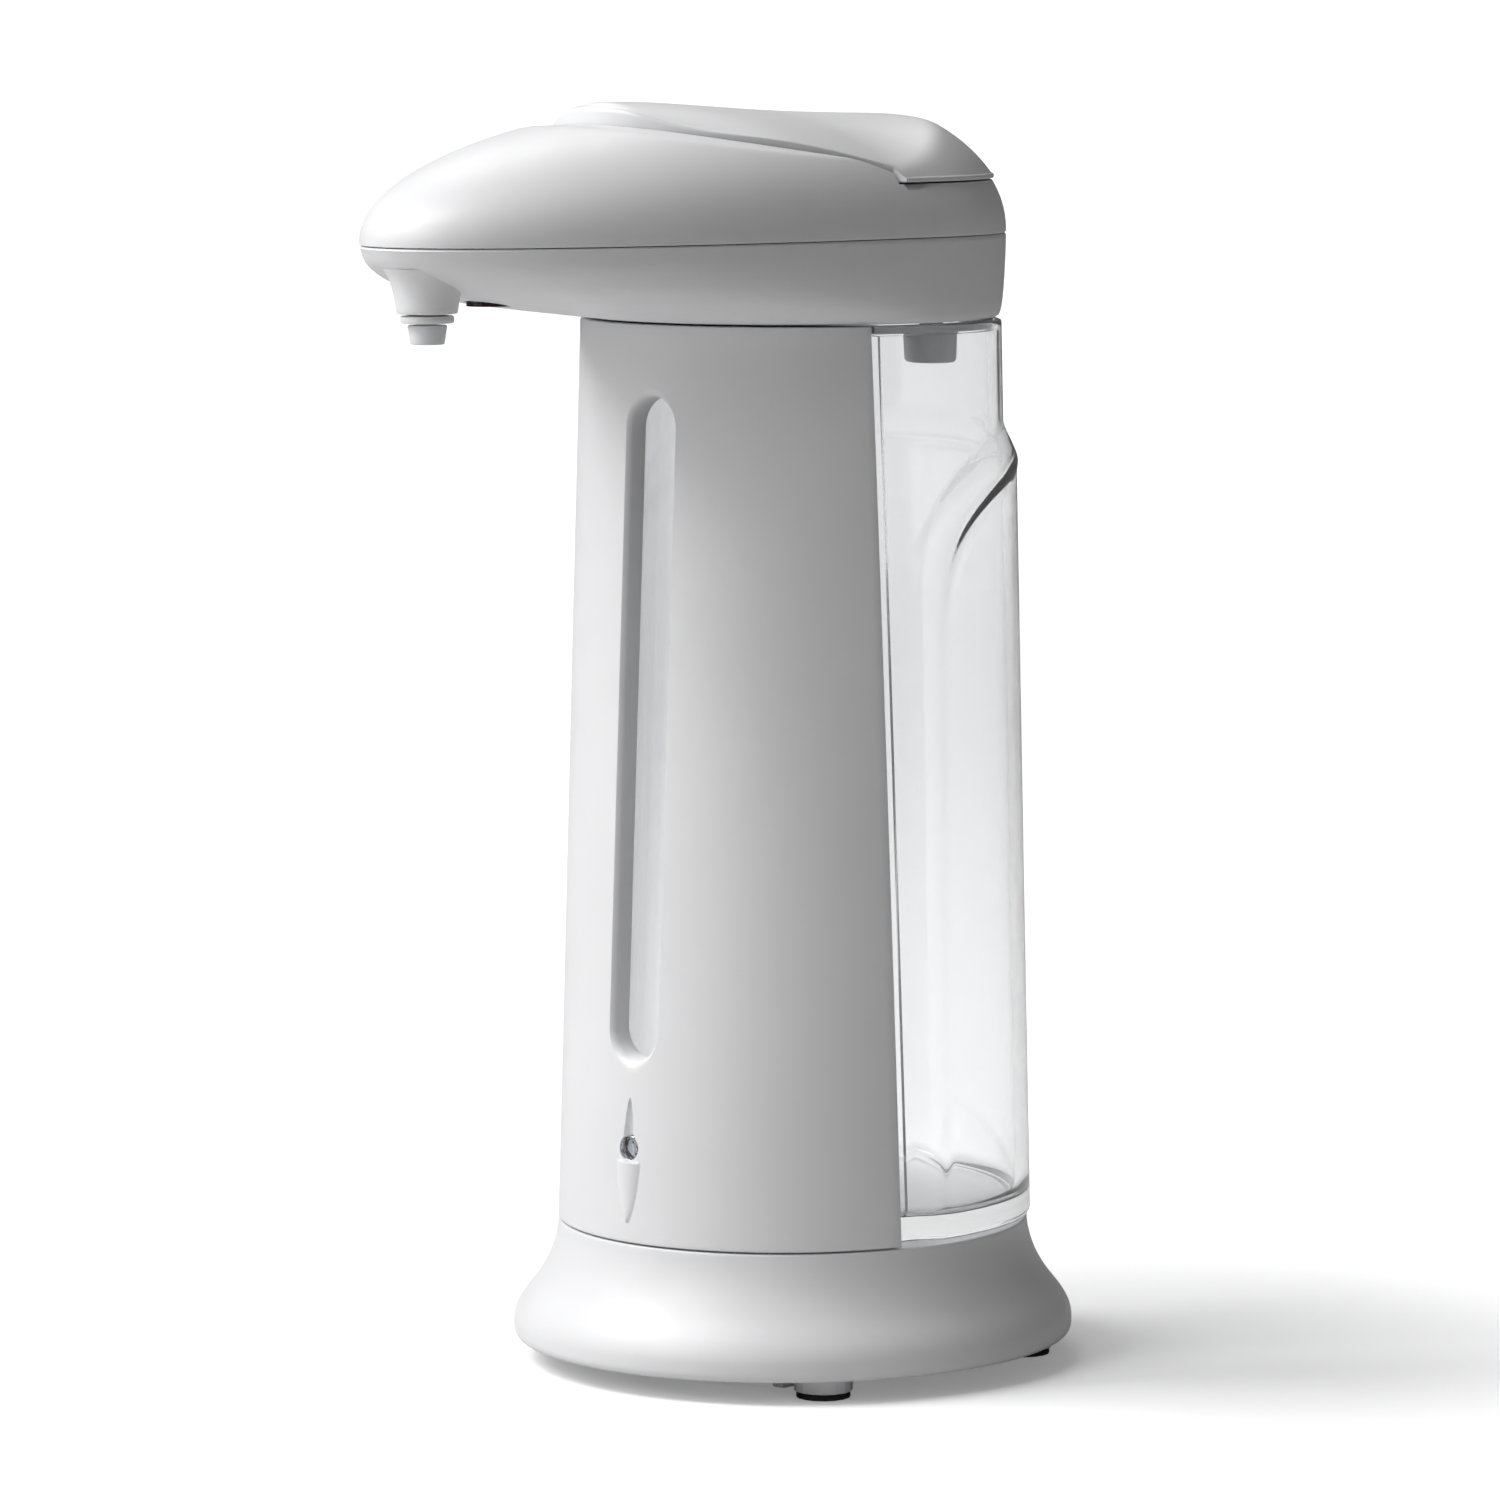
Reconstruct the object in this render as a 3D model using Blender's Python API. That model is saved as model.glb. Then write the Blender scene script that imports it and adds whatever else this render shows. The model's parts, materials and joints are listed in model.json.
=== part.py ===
"""Automatic soap dispenser that stands on a counter: a flared base with a battery compartment,
a front shell with a level slot, a clear tank behind it, and an egg-shaped head with a hinged
filler lid and a peristaltic pump.

Sizes are in millimetres and become metres when a mesh is made. Heights count from the floor.
Plan positions count from the column's axis, which the empty "dispenser" places so that the whole
object is centred on X = 0, Y = 0. -Y is the front, where the nozzle is.
"""

import math

import bmesh
import bpy
from mathutils import Matrix, Vector

MM = 0.001
GAP = 0.3

# Column: an oval that narrows upwards. Each size is (half width, front, rear).
COLUMN_LOW_Z = 22.7
COLUMN_TOP_Z = 165.5
COLUMN_LOW = (36.9, 38.3, 37.7)
COLUMN_TOP = (35.0, 31.4, 31.2)
SHELL_WALL = 2.4
SPLIT_Y_LOW = -12.4
SPLIT_Y_TOP = -14.8

# Base: (height, outset from the column's foot) down the flare and round the rim
BASE_BOTTOM_Z = 3.5
BASE_TOP_Z = 22.4
BASE_WALL = 2.0
BASE_FLARE = (
    (3.5, 6.2),
    (4.6, 7.2),
    (7.4, 7.2),
    (9.8, 5.9),
    (12.7, 3.45),
    (16.5, 1.3),
    (22.4, 0.0),
)
BASE_RIM_OUTSET = 7.2
PLATE_TOP_Z = 5.3
FOOT_X = 28.2
FOOT_Y = 23.5
FOOT_RADIUS = 4.57
FOOT_PEG_Z = 1.05
BOSS_RADIUS = 3.0
PILOT_RADIUS = 1.3
SCREW_HOLE_RADIUS = 1.4
SCREW_HEAD_RADIUS = 2.4
COUNTERBORE_RADIUS = 2.7
COUNTERBORE_Z = 4.4
LEAD_HOLE_RADIUS = 1.6

# Battery compartment, under the base
CELL_RADIUS = 5.15
CELL_LENGTH = 43.5
CELL_PITCH = 10.6
CELL_Z = 11.2
CELL_COUNT = 4
TRAY_TOP_Z = 17.6
TRAY_HALF = (22.9, 26.6)
DOOR_HALF = (22.1, 26.3)
DOOR_Z = (2.1, 3.2)
RAIL_Y = (-27.6, 20)
RAIL_LOW_Z = 1.2
RAIL_WIDTH = 1.4
RAIL_LIP = 0.8
TRAY_WALL = 1.0
SWITCH_Y = -35.0
SWITCH_REST_X = -2.0

# Level slot and status light on the front of the column
SLOT_LOW_Z = 51.3
SLOT_TOP_Z = 154.3
SLOT_HALF = 4.8
SLOT_DEPTH = 4.2
SLOT_LIP = 1.2
LIGHT_Z = 37.5
LIGHT_RADIUS = 1.9

# Tank
TANK_LOW_Z = 23.0
TANK_TOP_Z = 165.4
TANK_LEDGE_Z = 163.9
TANK_LIP = 1.0
TANK_WALL = 2.2
TANK_FLOOR_Z = 26.4
TANK_FRONT_INSET = 7.2
TANK_EDGE_INSET = 3.2
TANK_RECESS = 2.0
TANK_PROUD_LOW = 0.6
TANK_PROUD_TOP = 1.8
TANK_PROUD_ANGLES = (60, 105)
ARCH_TOP_Z = 148.0
ARCH_RISE = 28.0
ARCH_HALF_ANGLE = 99.0

# Head: an egg whose front half reaches out over the nozzle.
# Each section is (height, half width, front, rear).
HEAD_SIZE = (35.0, 87.4, 32.4)
HEAD_WALL = 1.9
KEEL = (
    (165.8, 34.2, 31.0, 30.9),
    (166.5, 34.5, 36.5, 31.2),
    (168.3, 34.6, 54.0, 31.6),
    (169.7, 34.7, 65.5, 31.8),
    (173.4, 34.9, 81.0, 32.1),
    (175.9, 34.9, 85.6, 32.3),
    (178.9, 35.0, 87.4, 32.4),
)
DOME_LOW_Z = 179.3
DOME_RISE = 21.7
DOME_CLIP_Z = 196.6
DOME_CLIP_CURVE = 0.0065
DECK_Z = 187.2

# Lid
LID_FRONT_Y = -44.5
LID_FRONT_POWER = 2.3
LID_NOTCH_Y = -10.0
LID_HALF_WIDTH = 31.0
LID_SKIRT_Z = 187.5
LID_PROUD = 0.6
LID_LIFT = 0.4
LID_REAR_SIZE = (33.0, 82.0, 30.6)
LID_REAR_START = -6.3
LID_THICK = 2.3
LID_CREST = (-41.0, 196.6, 3.4, 33.2)
HINGE_Y = -42.0
HINGE_Z = 197.4
KNUCKLE_RADIUS = 1.7
NOSE_EDGE = 0.2
HINGE_PIN_RADIUS = 0.75
KNUCKLE_HALF = 6.0
GROOVE_HALF = 9.9
GROOVE_GAP = 0.45
GROOVE_Z = 194.4
LUG_HALF = 3.0
LUG_RADIUS = 1.3

# Filler and tank fittings
FILLER_Y = 8.0
FILLER_RADIUS = 12.6
VENT = (14.0, 17.5)
VENT_RADIUS = 4.4
VENT_STEM_RADIUS = 1.9
PASS_Z = (160, 172)

# Nozzle and hand sensor
NOZZLE_Y = -79.6
SENSOR_Y = -67.0
SENSOR_RADIUS = 3.2

# Pump and gears, inside the head
PUMP_Y = -40.0
PUMP_Z = (170.9, 181.0)
PUMP_OUTER = 15.2
PUMP_BORE = 13.4
TUBE_RADIUS = 1.4
TUBE_ORBIT = 11.85
TUBE_Z = 177.0
ROLLER_COUNT = 3
ROLLER_RADIUS = 2.6
ROLLER_ORBIT = 7.6
ROTOR_DISC_RADIUS = 9.7
PLATE_Z = (181.3, 182.9)
GEAR_MODULE = 0.8
PINION_TEETH = 9
IDLER_BIG_TEETH = 27
IDLER_SMALL_TEETH = 10
ROTOR_TEETH = 30
LOW_GEAR_Z = (183.2, 185.2)
HIGH_GEAR_Z = (185.7, 187.7)
IDLER_XY = (9.6, -27.2)
MOTOR_XY = (0.0, IDLER_XY[1] + math.sqrt(14.4**2 - 9.6**2))
MOTOR_RADIUS = 7.8
SUCTION_X = 17.2
SUCTION_Y = -13.0
PUMP_BOSS_RADIUS = 2.8
AXLE_RADIUS = 1.0
AXLE_BORE = 1.15
ROLLER_PIN_RADIUS = 0.9
TOOTH_TIP = 0.75
TOOTH_ROOT = 1.1

# Places
AXIS_Y = (HEAD_SIZE[1] - COLUMN_LOW[2] - BASE_RIM_OUTSET) / 2
FEET = {
    "front_left": (-FOOT_X, -FOOT_Y),
    "front_right": (FOOT_X, -FOOT_Y),
    "rear_left": (-FOOT_X, FOOT_Y),
    "rear_right": (FOOT_X, FOOT_Y),
}
BASE_SCREWS = [(-31.0, -7.0), (31.0, -7.0), (-31.0, 7.0), (31.0, 7.0)]
PUMP_SCREWS = [(-22.5, -44.0), (22.5, -44.0)]
LEAD_LOW = (-10.0, -31.8)
LEAD_TOP = (-10.0, -25.2)

# Points on round shapes
ROUND = 32
SMALL_ROUND = 16
REAR_STEPS = 24
FRONT_STEPS = 10

# Finishes
WHITE = (0.80, 0.80, 0.81)
GREY_PLASTIC = (0.35, 0.36, 0.38)
BLACK_PLASTIC = (0.03, 0.03, 0.03)
RUBBER = (0.015, 0.015, 0.015)
CLEAR = (0.85, 0.88, 0.90)
SILICONE = (0.70, 0.71, 0.72)
TUBE_CLEAR = (0.75, 0.77, 0.78)
STEEL = (0.62, 0.62, 0.63)
BRASS = (0.70, 0.55, 0.25)
BOARD_GREEN = (0.02, 0.18, 0.08)
CELL_GREEN = (0.05, 0.30, 0.15)
LED_BLUE = (0.10, 0.20, 0.60)
DARK_LENS = (0.02, 0.01, 0.02)
GEAR_CREAM = (0.80, 0.76, 0.66)
LEAD_RED = (0.50, 0.03, 0.03)


# ---------------------------------------------------------------- scene, materials and objects


def clear_scene():
    for obj in list(bpy.data.objects):
        bpy.data.objects.remove(obj, do_unlink=True)


def material(name, colour, roughness, metallic=0.0):
    """One plain finish."""
    finish = bpy.data.materials.new(name)
    finish.use_nodes = True
    shader = finish.node_tree.nodes["Principled BSDF"]
    shader.inputs["Base Color"].default_value = (*colour, 1.0)
    shader.inputs["Roughness"].default_value = roughness
    shader.inputs["Metallic"].default_value = metallic
    finish.diffuse_color = (*colour, 1.0)
    return finish


def new_object(name, bm, colour=(0.8, 0.8, 0.8), roughness=0.45, metallic=0.0, at=(0, 0, 0)):
    """An object under the dispenser's empty. Its mesh is given relative to the point "at", its origin."""
    bmesh.ops.recalc_face_normals(bm, faces=bm.faces)
    bmesh.ops.scale(bm, vec=(MM, MM, MM), verts=bm.verts)
    mesh = bpy.data.meshes.new(name)
    bm.to_mesh(mesh)
    bm.free()
    mesh.shade_smooth()
    mesh.set_sharp_from_angle(angle=math.radians(35))
    obj = bpy.data.objects.new(name, mesh)
    obj.location = Vector(at) * MM
    obj.parent = bpy.data.objects["dispenser"]
    obj.data.materials.append(material(name, colour, roughness, metallic))
    bpy.context.scene.collection.objects.link(obj)
    return obj


def helper(name, bm, at=(0, 0, 0)):
    """A cutter, or a shape that a Boolean joins on."""
    obj = new_object(name, bm, at=at)
    obj.hide_render = True
    obj.display_type = "WIRE"
    return obj


def combine(obj, operation, *others):
    for other in others:
        modifier = obj.modifiers.new(other.name, "BOOLEAN")
        modifier.operation = operation
        modifier.object = other


def cut(obj, *others):
    combine(obj, "DIFFERENCE", *others)


def join(obj, *others):
    combine(obj, "UNION", *others)


# ---------------------------------------------------------------- shapes


def close_end(bm, row):
    """Closes a ring with triangles that meet at its middle."""
    middle = sum((vertex.co for vertex in row), Vector()) / len(row)
    middle = bm.verts.new(middle)
    for i in range(len(row)):
        bm.faces.new((row[i], row[(i + 1) % len(row)], middle))


def loft(rings, flat_ends=True):
    """A closed body through rings of equally many points, with flat ends unless flat_ends is False."""
    bm = bmesh.new()
    rows = [[bm.verts.new(point) for point in ring] for ring in rings]
    for low, high in zip(rows, rows[1:]):
        for i in range(len(low)):
            j = (i + 1) % len(low)
            bm.faces.new((low[i], low[j], high[j], high[i]))
    for row in (rows[0][::-1], rows[-1]):
        if flat_ends:
            bm.faces.new(row)
        else:
            close_end(bm, row)
    return bm


def egg(size, z, steps=ROUND):
    """An oval ring whose front half and rear half have their own lengths."""
    half_width, front, rear = size
    ring = []
    for i in range(steps):
        angle = 2 * math.pi * i / steps
        depth = rear if math.sin(angle) > 0 else front
        ring.append((half_width * math.cos(angle), depth * math.sin(angle), z))
    return ring


def grown(size, outset):
    return tuple(value + outset for value in size)


def box(x, y, z):
    corners = [(x[0], y[0]), (x[1], y[0]), (x[1], y[1]), (x[0], y[1])]
    return loft([[(*corner, height) for corner in corners] for height in z])


def disc_rings(centre, profile, steps=SMALL_ROUND):
    """Rings round a vertical axis for a profile of (radius, height)."""
    rings = []
    for radius, z in profile:
        ring = []
        for i in range(steps):
            angle = 2 * math.pi * i / steps
            ring.append((centre[0] + radius * math.cos(angle), centre[1] + radius * math.sin(angle), z))
        rings.append(ring)
    return rings


def turned(centre, profile, steps=SMALL_ROUND):
    return loft(disc_rings(centre, profile, steps))


def cylinder(centre, radius, z, steps=SMALL_ROUND):
    return turned(centre, [(radius, z[0]), (radius, z[1])], steps)


def lying(bm, axis, centre):
    """Turns a body made round the Z axis to lie along X or Y, through centre in the other two."""
    turn = Matrix.Rotation(math.radians(90 if axis == "X" else -90), 3, "Y" if axis == "X" else "X")
    bmesh.ops.rotate(bm, matrix=turn, verts=bm.verts)
    move = (0, centre[0], centre[1]) if axis == "X" else (centre[0], 0, centre[1])
    bmesh.ops.translate(bm, vec=move, verts=bm.verts)
    return bm


def rod(radius, ends, axis, centre, steps=SMALL_ROUND):
    return lying(cylinder((0, 0), radius, ends, steps), axis, centre)


def hoop(rings):
    """A closed body through rings, with the last joined back to the first."""
    bm = bmesh.new()
    rows = [[bm.verts.new(point) for point in ring] for ring in rings]
    for low, high in zip(rows, rows[1:] + rows[:1]):
        for i in range(len(low)):
            j = (i + 1) % len(low)
            bm.faces.new((low[i], low[j], high[j], high[i]))
    return bm


def pipe(centre, outer, inner, z, steps=SMALL_ROUND):
    """A ring or sleeve round a vertical axis."""
    profile = [(outer, z[0]), (outer, z[1]), (inner, z[1]), (inner, z[0])]
    return hoop(disc_rings(centre, profile, steps))


def smooth_route(points, spacing=2.4):
    """Evenly placed points on a Catmull-Rom curve through the route's own points."""
    knots = [Vector(point) for point in points]
    knots = [2 * knots[0] - knots[1], *knots, 2 * knots[-1] - knots[-2]]
    route = [knots[1]]
    for a, b, c, d in zip(knots, knots[1:], knots[2:], knots[3:]):
        count = max(1, min(6, round((c - b).length / spacing)))
        for step in range(1, count + 1):
            t = step / count
            square, cube = 2 * a - 5 * b + 4 * c - d, 3 * b - a - 3 * c + d
            route.append(0.5 * (2 * b + (c - a) * t + square * t**2 + cube * t**3))
    return route


def hose(name, points, radius, colour, roughness=0.4):
    """A flexible tube or lead along a smooth route."""
    curve = bpy.data.curves.new(name, "CURVE")
    curve.dimensions = "3D"
    curve.bevel_depth = radius * MM
    curve.bevel_resolution = 2
    curve.use_fill_caps = True
    route = smooth_route(points)
    spline = curve.splines.new("POLY")
    spline.points.add(len(route) - 1)
    for knot, point in zip(spline.points, route):
        knot.co = (*(point * MM), 1.0)
    obj = bpy.data.objects.new(name, curve)
    obj.parent = bpy.data.objects["dispenser"]
    curve.materials.append(material(name, colour, roughness))
    bpy.context.scene.collection.objects.link(obj)
    return obj


def gear_outline(centre, teeth, phase):
    """Straight-sided teeth. phase is the angle of the middle of one tooth."""
    pitch_radius = GEAR_MODULE * teeth / 2
    tip = pitch_radius + TOOTH_TIP * GEAR_MODULE
    root = pitch_radius - TOOTH_ROOT * GEAR_MODULE
    tooth = 2 * math.pi / teeth
    outline = []
    for i in range(teeth):
        for radius, part in ((root, -0.34), (tip, -0.1), (tip, 0.1), (root, 0.34)):
            angle = phase + (i + part) * tooth
            outline.append((centre[0] + radius * math.cos(angle), centre[1] + radius * math.sin(angle)))
    return outline


def gear(centre, teeth, z, phase):
    outline = gear_outline(centre, teeth, phase)
    return loft([[(*point, height) for point in outline] for height in z])


def between(low, high, share):
    return low + (high - low) * share


def smoothstep(low, high, value):
    share = min(1.0, max(0.0, (value - low) / (high - low)))
    return share * share * (3 - 2 * share)


def field_rings(outline, middle, shares, height):
    """Rings that shrink an outline towards its middle, each point lifted to height(x, y)."""
    rings = []
    for share in shares:
        ring = []
        for x, y in outline:
            x = between(middle[0], x, share)
            y = between(middle[1], y, share)
            ring.append((x, y, height(x, y, share)))
        rings.append(ring)
    return rings


# ---------------------------------------------------------------- base


def make_base_shell():
    outer = [egg(grown(COLUMN_LOW, outset), z) for z, outset in BASE_FLARE]
    inner_top = BASE_TOP_Z - BASE_WALL
    inner = [egg(grown(COLUMN_LOW, outset - BASE_WALL), min(z, inner_top)) for z, outset in BASE_FLARE[::-2]]
    shell = new_object("base_shell", loft(inner + outer), WHITE, 0.45)
    for i, place in enumerate(BASE_SCREWS):
        join(shell, helper(f"base_boss_{i}", cylinder(place, BOSS_RADIUS, (PLATE_TOP_Z + GAP, inner_top + 1))))
        cut(shell, helper(f"base_boss_hole_{i}", cylinder(place, PILOT_RADIUS, (PLATE_TOP_Z - 1, 15.0), 12)))
    cut(shell, helper("base_lead_hole", cylinder(LEAD_LOW, LEAD_HOLE_RADIUS, (18, 24), 12)))


def make_base_plate():
    size = grown(COLUMN_LOW, BASE_FLARE[0][1] - BASE_WALL - GAP)
    plate = new_object("base_plate", loft([egg(size, BASE_BOTTOM_Z), egg(size, PLATE_TOP_Z)]), WHITE, 0.5)
    window = (DOOR_HALF[0] - 0.7, DOOR_HALF[1] - 1.3)
    cut(
        plate,
        helper("cell_window", box((-window[0], window[0]), (-window[1], window[1]), (0, 9))),
        helper("switch_slot", box((-3.9, 3.9), (SWITCH_Y - 1.3, SWITCH_Y + 1.3), (0, 9))),
    )
    for side in (-1, 1):
        outer = side * (DOOR_HALF[0] + RAIL_WIDTH)
        rail = sorted((side * (DOOR_HALF[0] + GAP), outer))
        lip = sorted((side * (DOOR_HALF[0] - RAIL_LIP), outer))
        name = "right" if side > 0 else "left"
        join(
            plate,
            helper(f"rail_{name}", box(rail, RAIL_Y, (RAIL_LOW_Z, BASE_BOTTOM_Z + 0.5))),
            helper(f"rail_lip_{name}", box(lip, RAIL_Y, (RAIL_LOW_Z, DOOR_Z[0] - GAP))),
        )
    join(plate, helper("door_stop", box((-15, 15), (-28.0, -DOOR_HALF[1] - GAP), (1.6, BASE_BOTTOM_Z + 0.5))))
    for i, (x, y) in enumerate(FEET.values()):
        join(plate, helper(f"foot_peg_{i}", cylinder((x, y), FOOT_RADIUS, (FOOT_PEG_Z, BASE_BOTTOM_Z + 0.5))))
    for i, place in enumerate(BASE_SCREWS):
        cut(plate, helper(f"plate_screw_hole_{i}", cylinder(place, SCREW_HOLE_RADIUS, (0, 9), 12)))
        cut(plate, helper(f"plate_counterbore_{i}", cylinder(place, COUNTERBORE_RADIUS, (0, COUNTERBORE_Z), 16)))


def make_feet():
    for name, place in FEET.items():
        pad = cylinder(place, FOOT_RADIUS - 0.35, (0, FOOT_PEG_Z - GAP))
        new_object(f"foot_pad_{name}", pad, RUBBER, 0.8)


def screw(name, place, head_radius, head_z, tip_z, shank_radius=1.1):
    """A self-tapping screw whose head is at the end that head_z starts from."""
    start, end = head_z
    profile = [(head_radius, start), (head_radius, end), (shank_radius, end), (shank_radius, tip_z)]
    new_object(name, turned(place, profile, 16), STEEL, 0.3, 1.0)


def make_base_screws():
    for i, place in enumerate(BASE_SCREWS):
        screw(f"base_screw_{i + 1}", place, SCREW_HEAD_RADIUS, (BASE_BOTTOM_Z + 0.1, 4.3), 14.0)


def make_battery_compartment():
    x, y = TRAY_HALF
    block = box((-x, x), (-y, y), (PLATE_TOP_Z + GAP, TRAY_TOP_Z))
    tray = new_object("battery_tray", block, BLACK_PLASTIC, 0.5)
    x, y = x - TRAY_WALL, y - TRAY_WALL
    cut(tray, helper("tray_inside", box((-x, x), (-y, y), (0, TRAY_TOP_Z - 0.8))))
    for i in range(CELL_COUNT):
        cell_x = (i - (CELL_COUNT - 1) / 2) * CELL_PITCH
        half = CELL_LENGTH / 2
        profile = [
            (CELL_RADIUS - 0.6, -half),
            (CELL_RADIUS, 0.6 - half),
            (CELL_RADIUS, half - 1.5),
            (1.9, half - 1.4),
            (1.9, half),
        ]
        cell = lying(turned((0, 0), profile, 18), "Y", (cell_x, CELL_Z))
        if i % 2:
            turn = Matrix.Rotation(math.pi, 3, "Z")
            bmesh.ops.rotate(cell, cent=(cell_x, 0, CELL_Z), matrix=turn, verts=cell.verts)
        new_object(f"battery_{i + 1}", cell, CELL_GREEN, 0.35, 0.3)
    for name, side in (("front", -1), ("rear", 1)):
        sheet = sorted((side * 25.3, side * 24.8))
        contact = new_object(
            f"battery_contact_{name}", box((-21.2, 21.2), sheet, (6.6, 16.0)), STEEL, 0.25, 1.0
        )
        for i in range(CELL_COUNT):
            cell_x = (i - (CELL_COUNT - 1) / 2) * CELL_PITCH
            nub = [(3.0, side * 25.0), (1.3, side * 22.1)]
            nub = lying(turned((0, 0), sorted(nub, key=lambda point: point[1]), 12), "Y", (cell_x, CELL_Z))
            join(contact, helper(f"contact_nub_{name}_{i}", nub))


def make_battery_door():
    x, y = DOOR_HALF
    door = new_object("battery_door", box((-x, x), (-y, y), DOOR_Z), WHITE, 0.5)
    for i in range(5):
        groove_y = -21.0 + 2.2 * i
        cut(door, helper(f"door_groove_{i}", box((-9, 9), (groove_y, groove_y + 1.0), (0, DOOR_Z[0] + 0.4))))


def make_power_switch():
    body = box((-6, 6), (SWITCH_Y - 2.8, SWITCH_Y + 2.8), (6.3, 10.0))
    new_object("power_switch_body", body, BLACK_PLASTIC, 0.5)
    knob = box((-1.5, 1.5), (-1.0, 1.0), (2.4 - PLATE_TOP_Z, 0.5))
    knob = new_object("power_switch_knob", knob, WHITE, 0.5, at=(SWITCH_REST_X, SWITCH_Y, PLATE_TOP_Z))
    flange = box((-2.6, 2.6), (-1.8, 1.8), (0.2, 0.7))
    join(knob, helper("knob_flange", flange, at=(SWITCH_REST_X, SWITCH_Y, PLATE_TOP_Z)))


def make_main_board():
    board = new_object("main_board", box((-20, 20), (-20, 20), (17.9, 19.1)), BOARD_GREEN, 0.5)
    join(
        board,
        helper("board_chip", box((-5, 5), (-4, 4), (19.0, 20.1))),
        helper("board_driver", box((9, 13), (-3, 3), (19.0, 20.0))),
        helper("board_capacitor", cylinder((-13, 8), 2.0, (19.0, 20.1), 12)),
    )


# ---------------------------------------------------------------- column and tank


def column_size(z):
    share = (z - COLUMN_LOW_Z) / (COLUMN_TOP_Z - COLUMN_LOW_Z)
    return tuple(between(low, top, share) for low, top in zip(COLUMN_LOW, COLUMN_TOP))


def split_y(z):
    return between(SPLIT_Y_LOW, SPLIT_Y_TOP, (z - COLUMN_LOW_Z) / (COLUMN_TOP_Z - COLUMN_LOW_Z))


def egg_point(size, angle, z):
    half_width, front, rear = size
    return (half_width * math.cos(angle), (rear if math.sin(angle) > 0 else front) * math.sin(angle), z)


def split_angle(z, y):
    """The angle below the X axis at which the column's oval reaches y."""
    return math.asin(-y / column_size(z)[1])


def slot_prism(sections):
    """A block with the slot's round ends that follows the slope of the column's front.

    Each section is (outset from the slot's outline, depth under the column's surface).
    """
    rings = []
    for outset, depth in sections:
        half = SLOT_HALF + outset
        ring = []
        for centre_z, start in ((SLOT_TOP_Z - SLOT_HALF, 0), (SLOT_LOW_Z + SLOT_HALF, math.pi)):
            for i in range(9):
                angle = start + math.pi * i / 8
                x = half * math.cos(angle)
                z = centre_z + half * math.sin(angle)
                ring.append((x, depth - column_size(z)[1], z))
        rings.append(ring)
    return loft(rings)


def make_column_shell():
    rings = []
    for z in (COLUMN_LOW_Z, COLUMN_TOP_Z):
        start = split_angle(z, split_y(z))
        angles = [-between(start, math.pi - start, i / 32) for i in range(33)]
        outer = [egg_point(column_size(z), angle, z) for angle in angles]
        inner = [egg_point(grown(column_size(z), -SHELL_WALL), angle, z) for angle in reversed(angles)]
        rings.append(outer + inner)
    shell = new_object("column_shell", loft(rings), WHITE, 0.45)
    join(shell, helper("slot_frame", slot_prism([(2.2, SHELL_WALL - 0.8), (2.2, SLOT_DEPTH)])))
    opening = [(SLOT_LIP, -2), (SLOT_LIP, 0), (0, SLOT_LIP), (0, SLOT_DEPTH + 2)]
    cut(
        shell,
        helper("slot_opening", slot_prism(opening)),
        helper("light_hole", rod(LIGHT_RADIUS + GAP, (-45, -30), "Y", (0, LIGHT_Z))),
    )


def make_level_window():
    window = slot_prism([(1.7, SLOT_DEPTH + GAP), (1.7, SLOT_DEPTH + GAP + 1.8)])
    new_object("level_window", window, CLEAR, 0.05)


def make_status_light():
    front = -column_size(LIGHT_Z)[1]
    lens = rod(LIGHT_RADIUS, (front - 0.2, front + 2.1), "Y", (0, LIGHT_Z))
    new_object("status_lens", lens, CLEAR, 0.05)
    new_object("status_led", rod(1.5, (front + 2.4, front + 4.3), "Y", (0, LIGHT_Z), 12), LED_BLUE, 0.2)
    new_object("status_board", box((-6.5, 6.5), (front + 4.6, front + 5.7), (28, 45)), BOARD_GREEN, 0.5)


def arch_height(angle):
    """Height of the raised rear panel's edge at an angle of the oval, or None beside the panel."""
    from_rear = abs(math.degrees(angle) - 90)
    if from_rear > ARCH_HALF_ANGLE:
        return None
    spring = ARCH_TOP_Z - ARCH_RISE
    return spring + ARCH_RISE * (1 - (from_rear / ARCH_HALF_ANGLE) ** 3) ** 0.4


def recess_at(angle, z):
    """How far the tank's wall lies inside the column's oval, or outside it where negative.

    The rear stands proud, and the wall steps in round the raised panel.
    """
    share = (z - COLUMN_LOW_Z) / (COLUMN_TOP_Z - COLUMN_LOW_Z)
    start, end = TANK_PROUD_ANGLES
    from_rear = abs(math.degrees(angle) - 90)
    proud = between(TANK_PROUD_LOW, TANK_PROUD_TOP, share) * (1 - smoothstep(start, end, from_rear))
    edge = arch_height(angle)
    if edge is None:
        return TANK_RECESS - proud
    return TANK_RECESS * smoothstep(edge - 1.2, edge + 1.2, z) - proud


def tank_ring(z, wall, step_shift=0.0):
    """The tank's outline: the exposed rear at the column's size, then what the front shell hides."""
    start = split_angle(z, split_y(z) + GAP) - step_shift
    ring = []
    for i in range(REAR_STEPS + 1):
        angle = between(-start, math.pi + start, i / REAR_STEPS)
        inset = recess_at(angle, z) + wall
        ring.append(egg_point(grown(column_size(z), -inset), angle, z))
    for i in range(FRONT_STEPS + 1):
        share = i / FRONT_STEPS
        angle = between(math.pi + start, 2 * math.pi - start, share)
        inset = between(TANK_EDGE_INSET, TANK_FRONT_INSET, math.sin(math.pi * share)) + wall
        ring.append(egg_point(grown(column_size(z), -inset), angle, z))
    return ring


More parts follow.
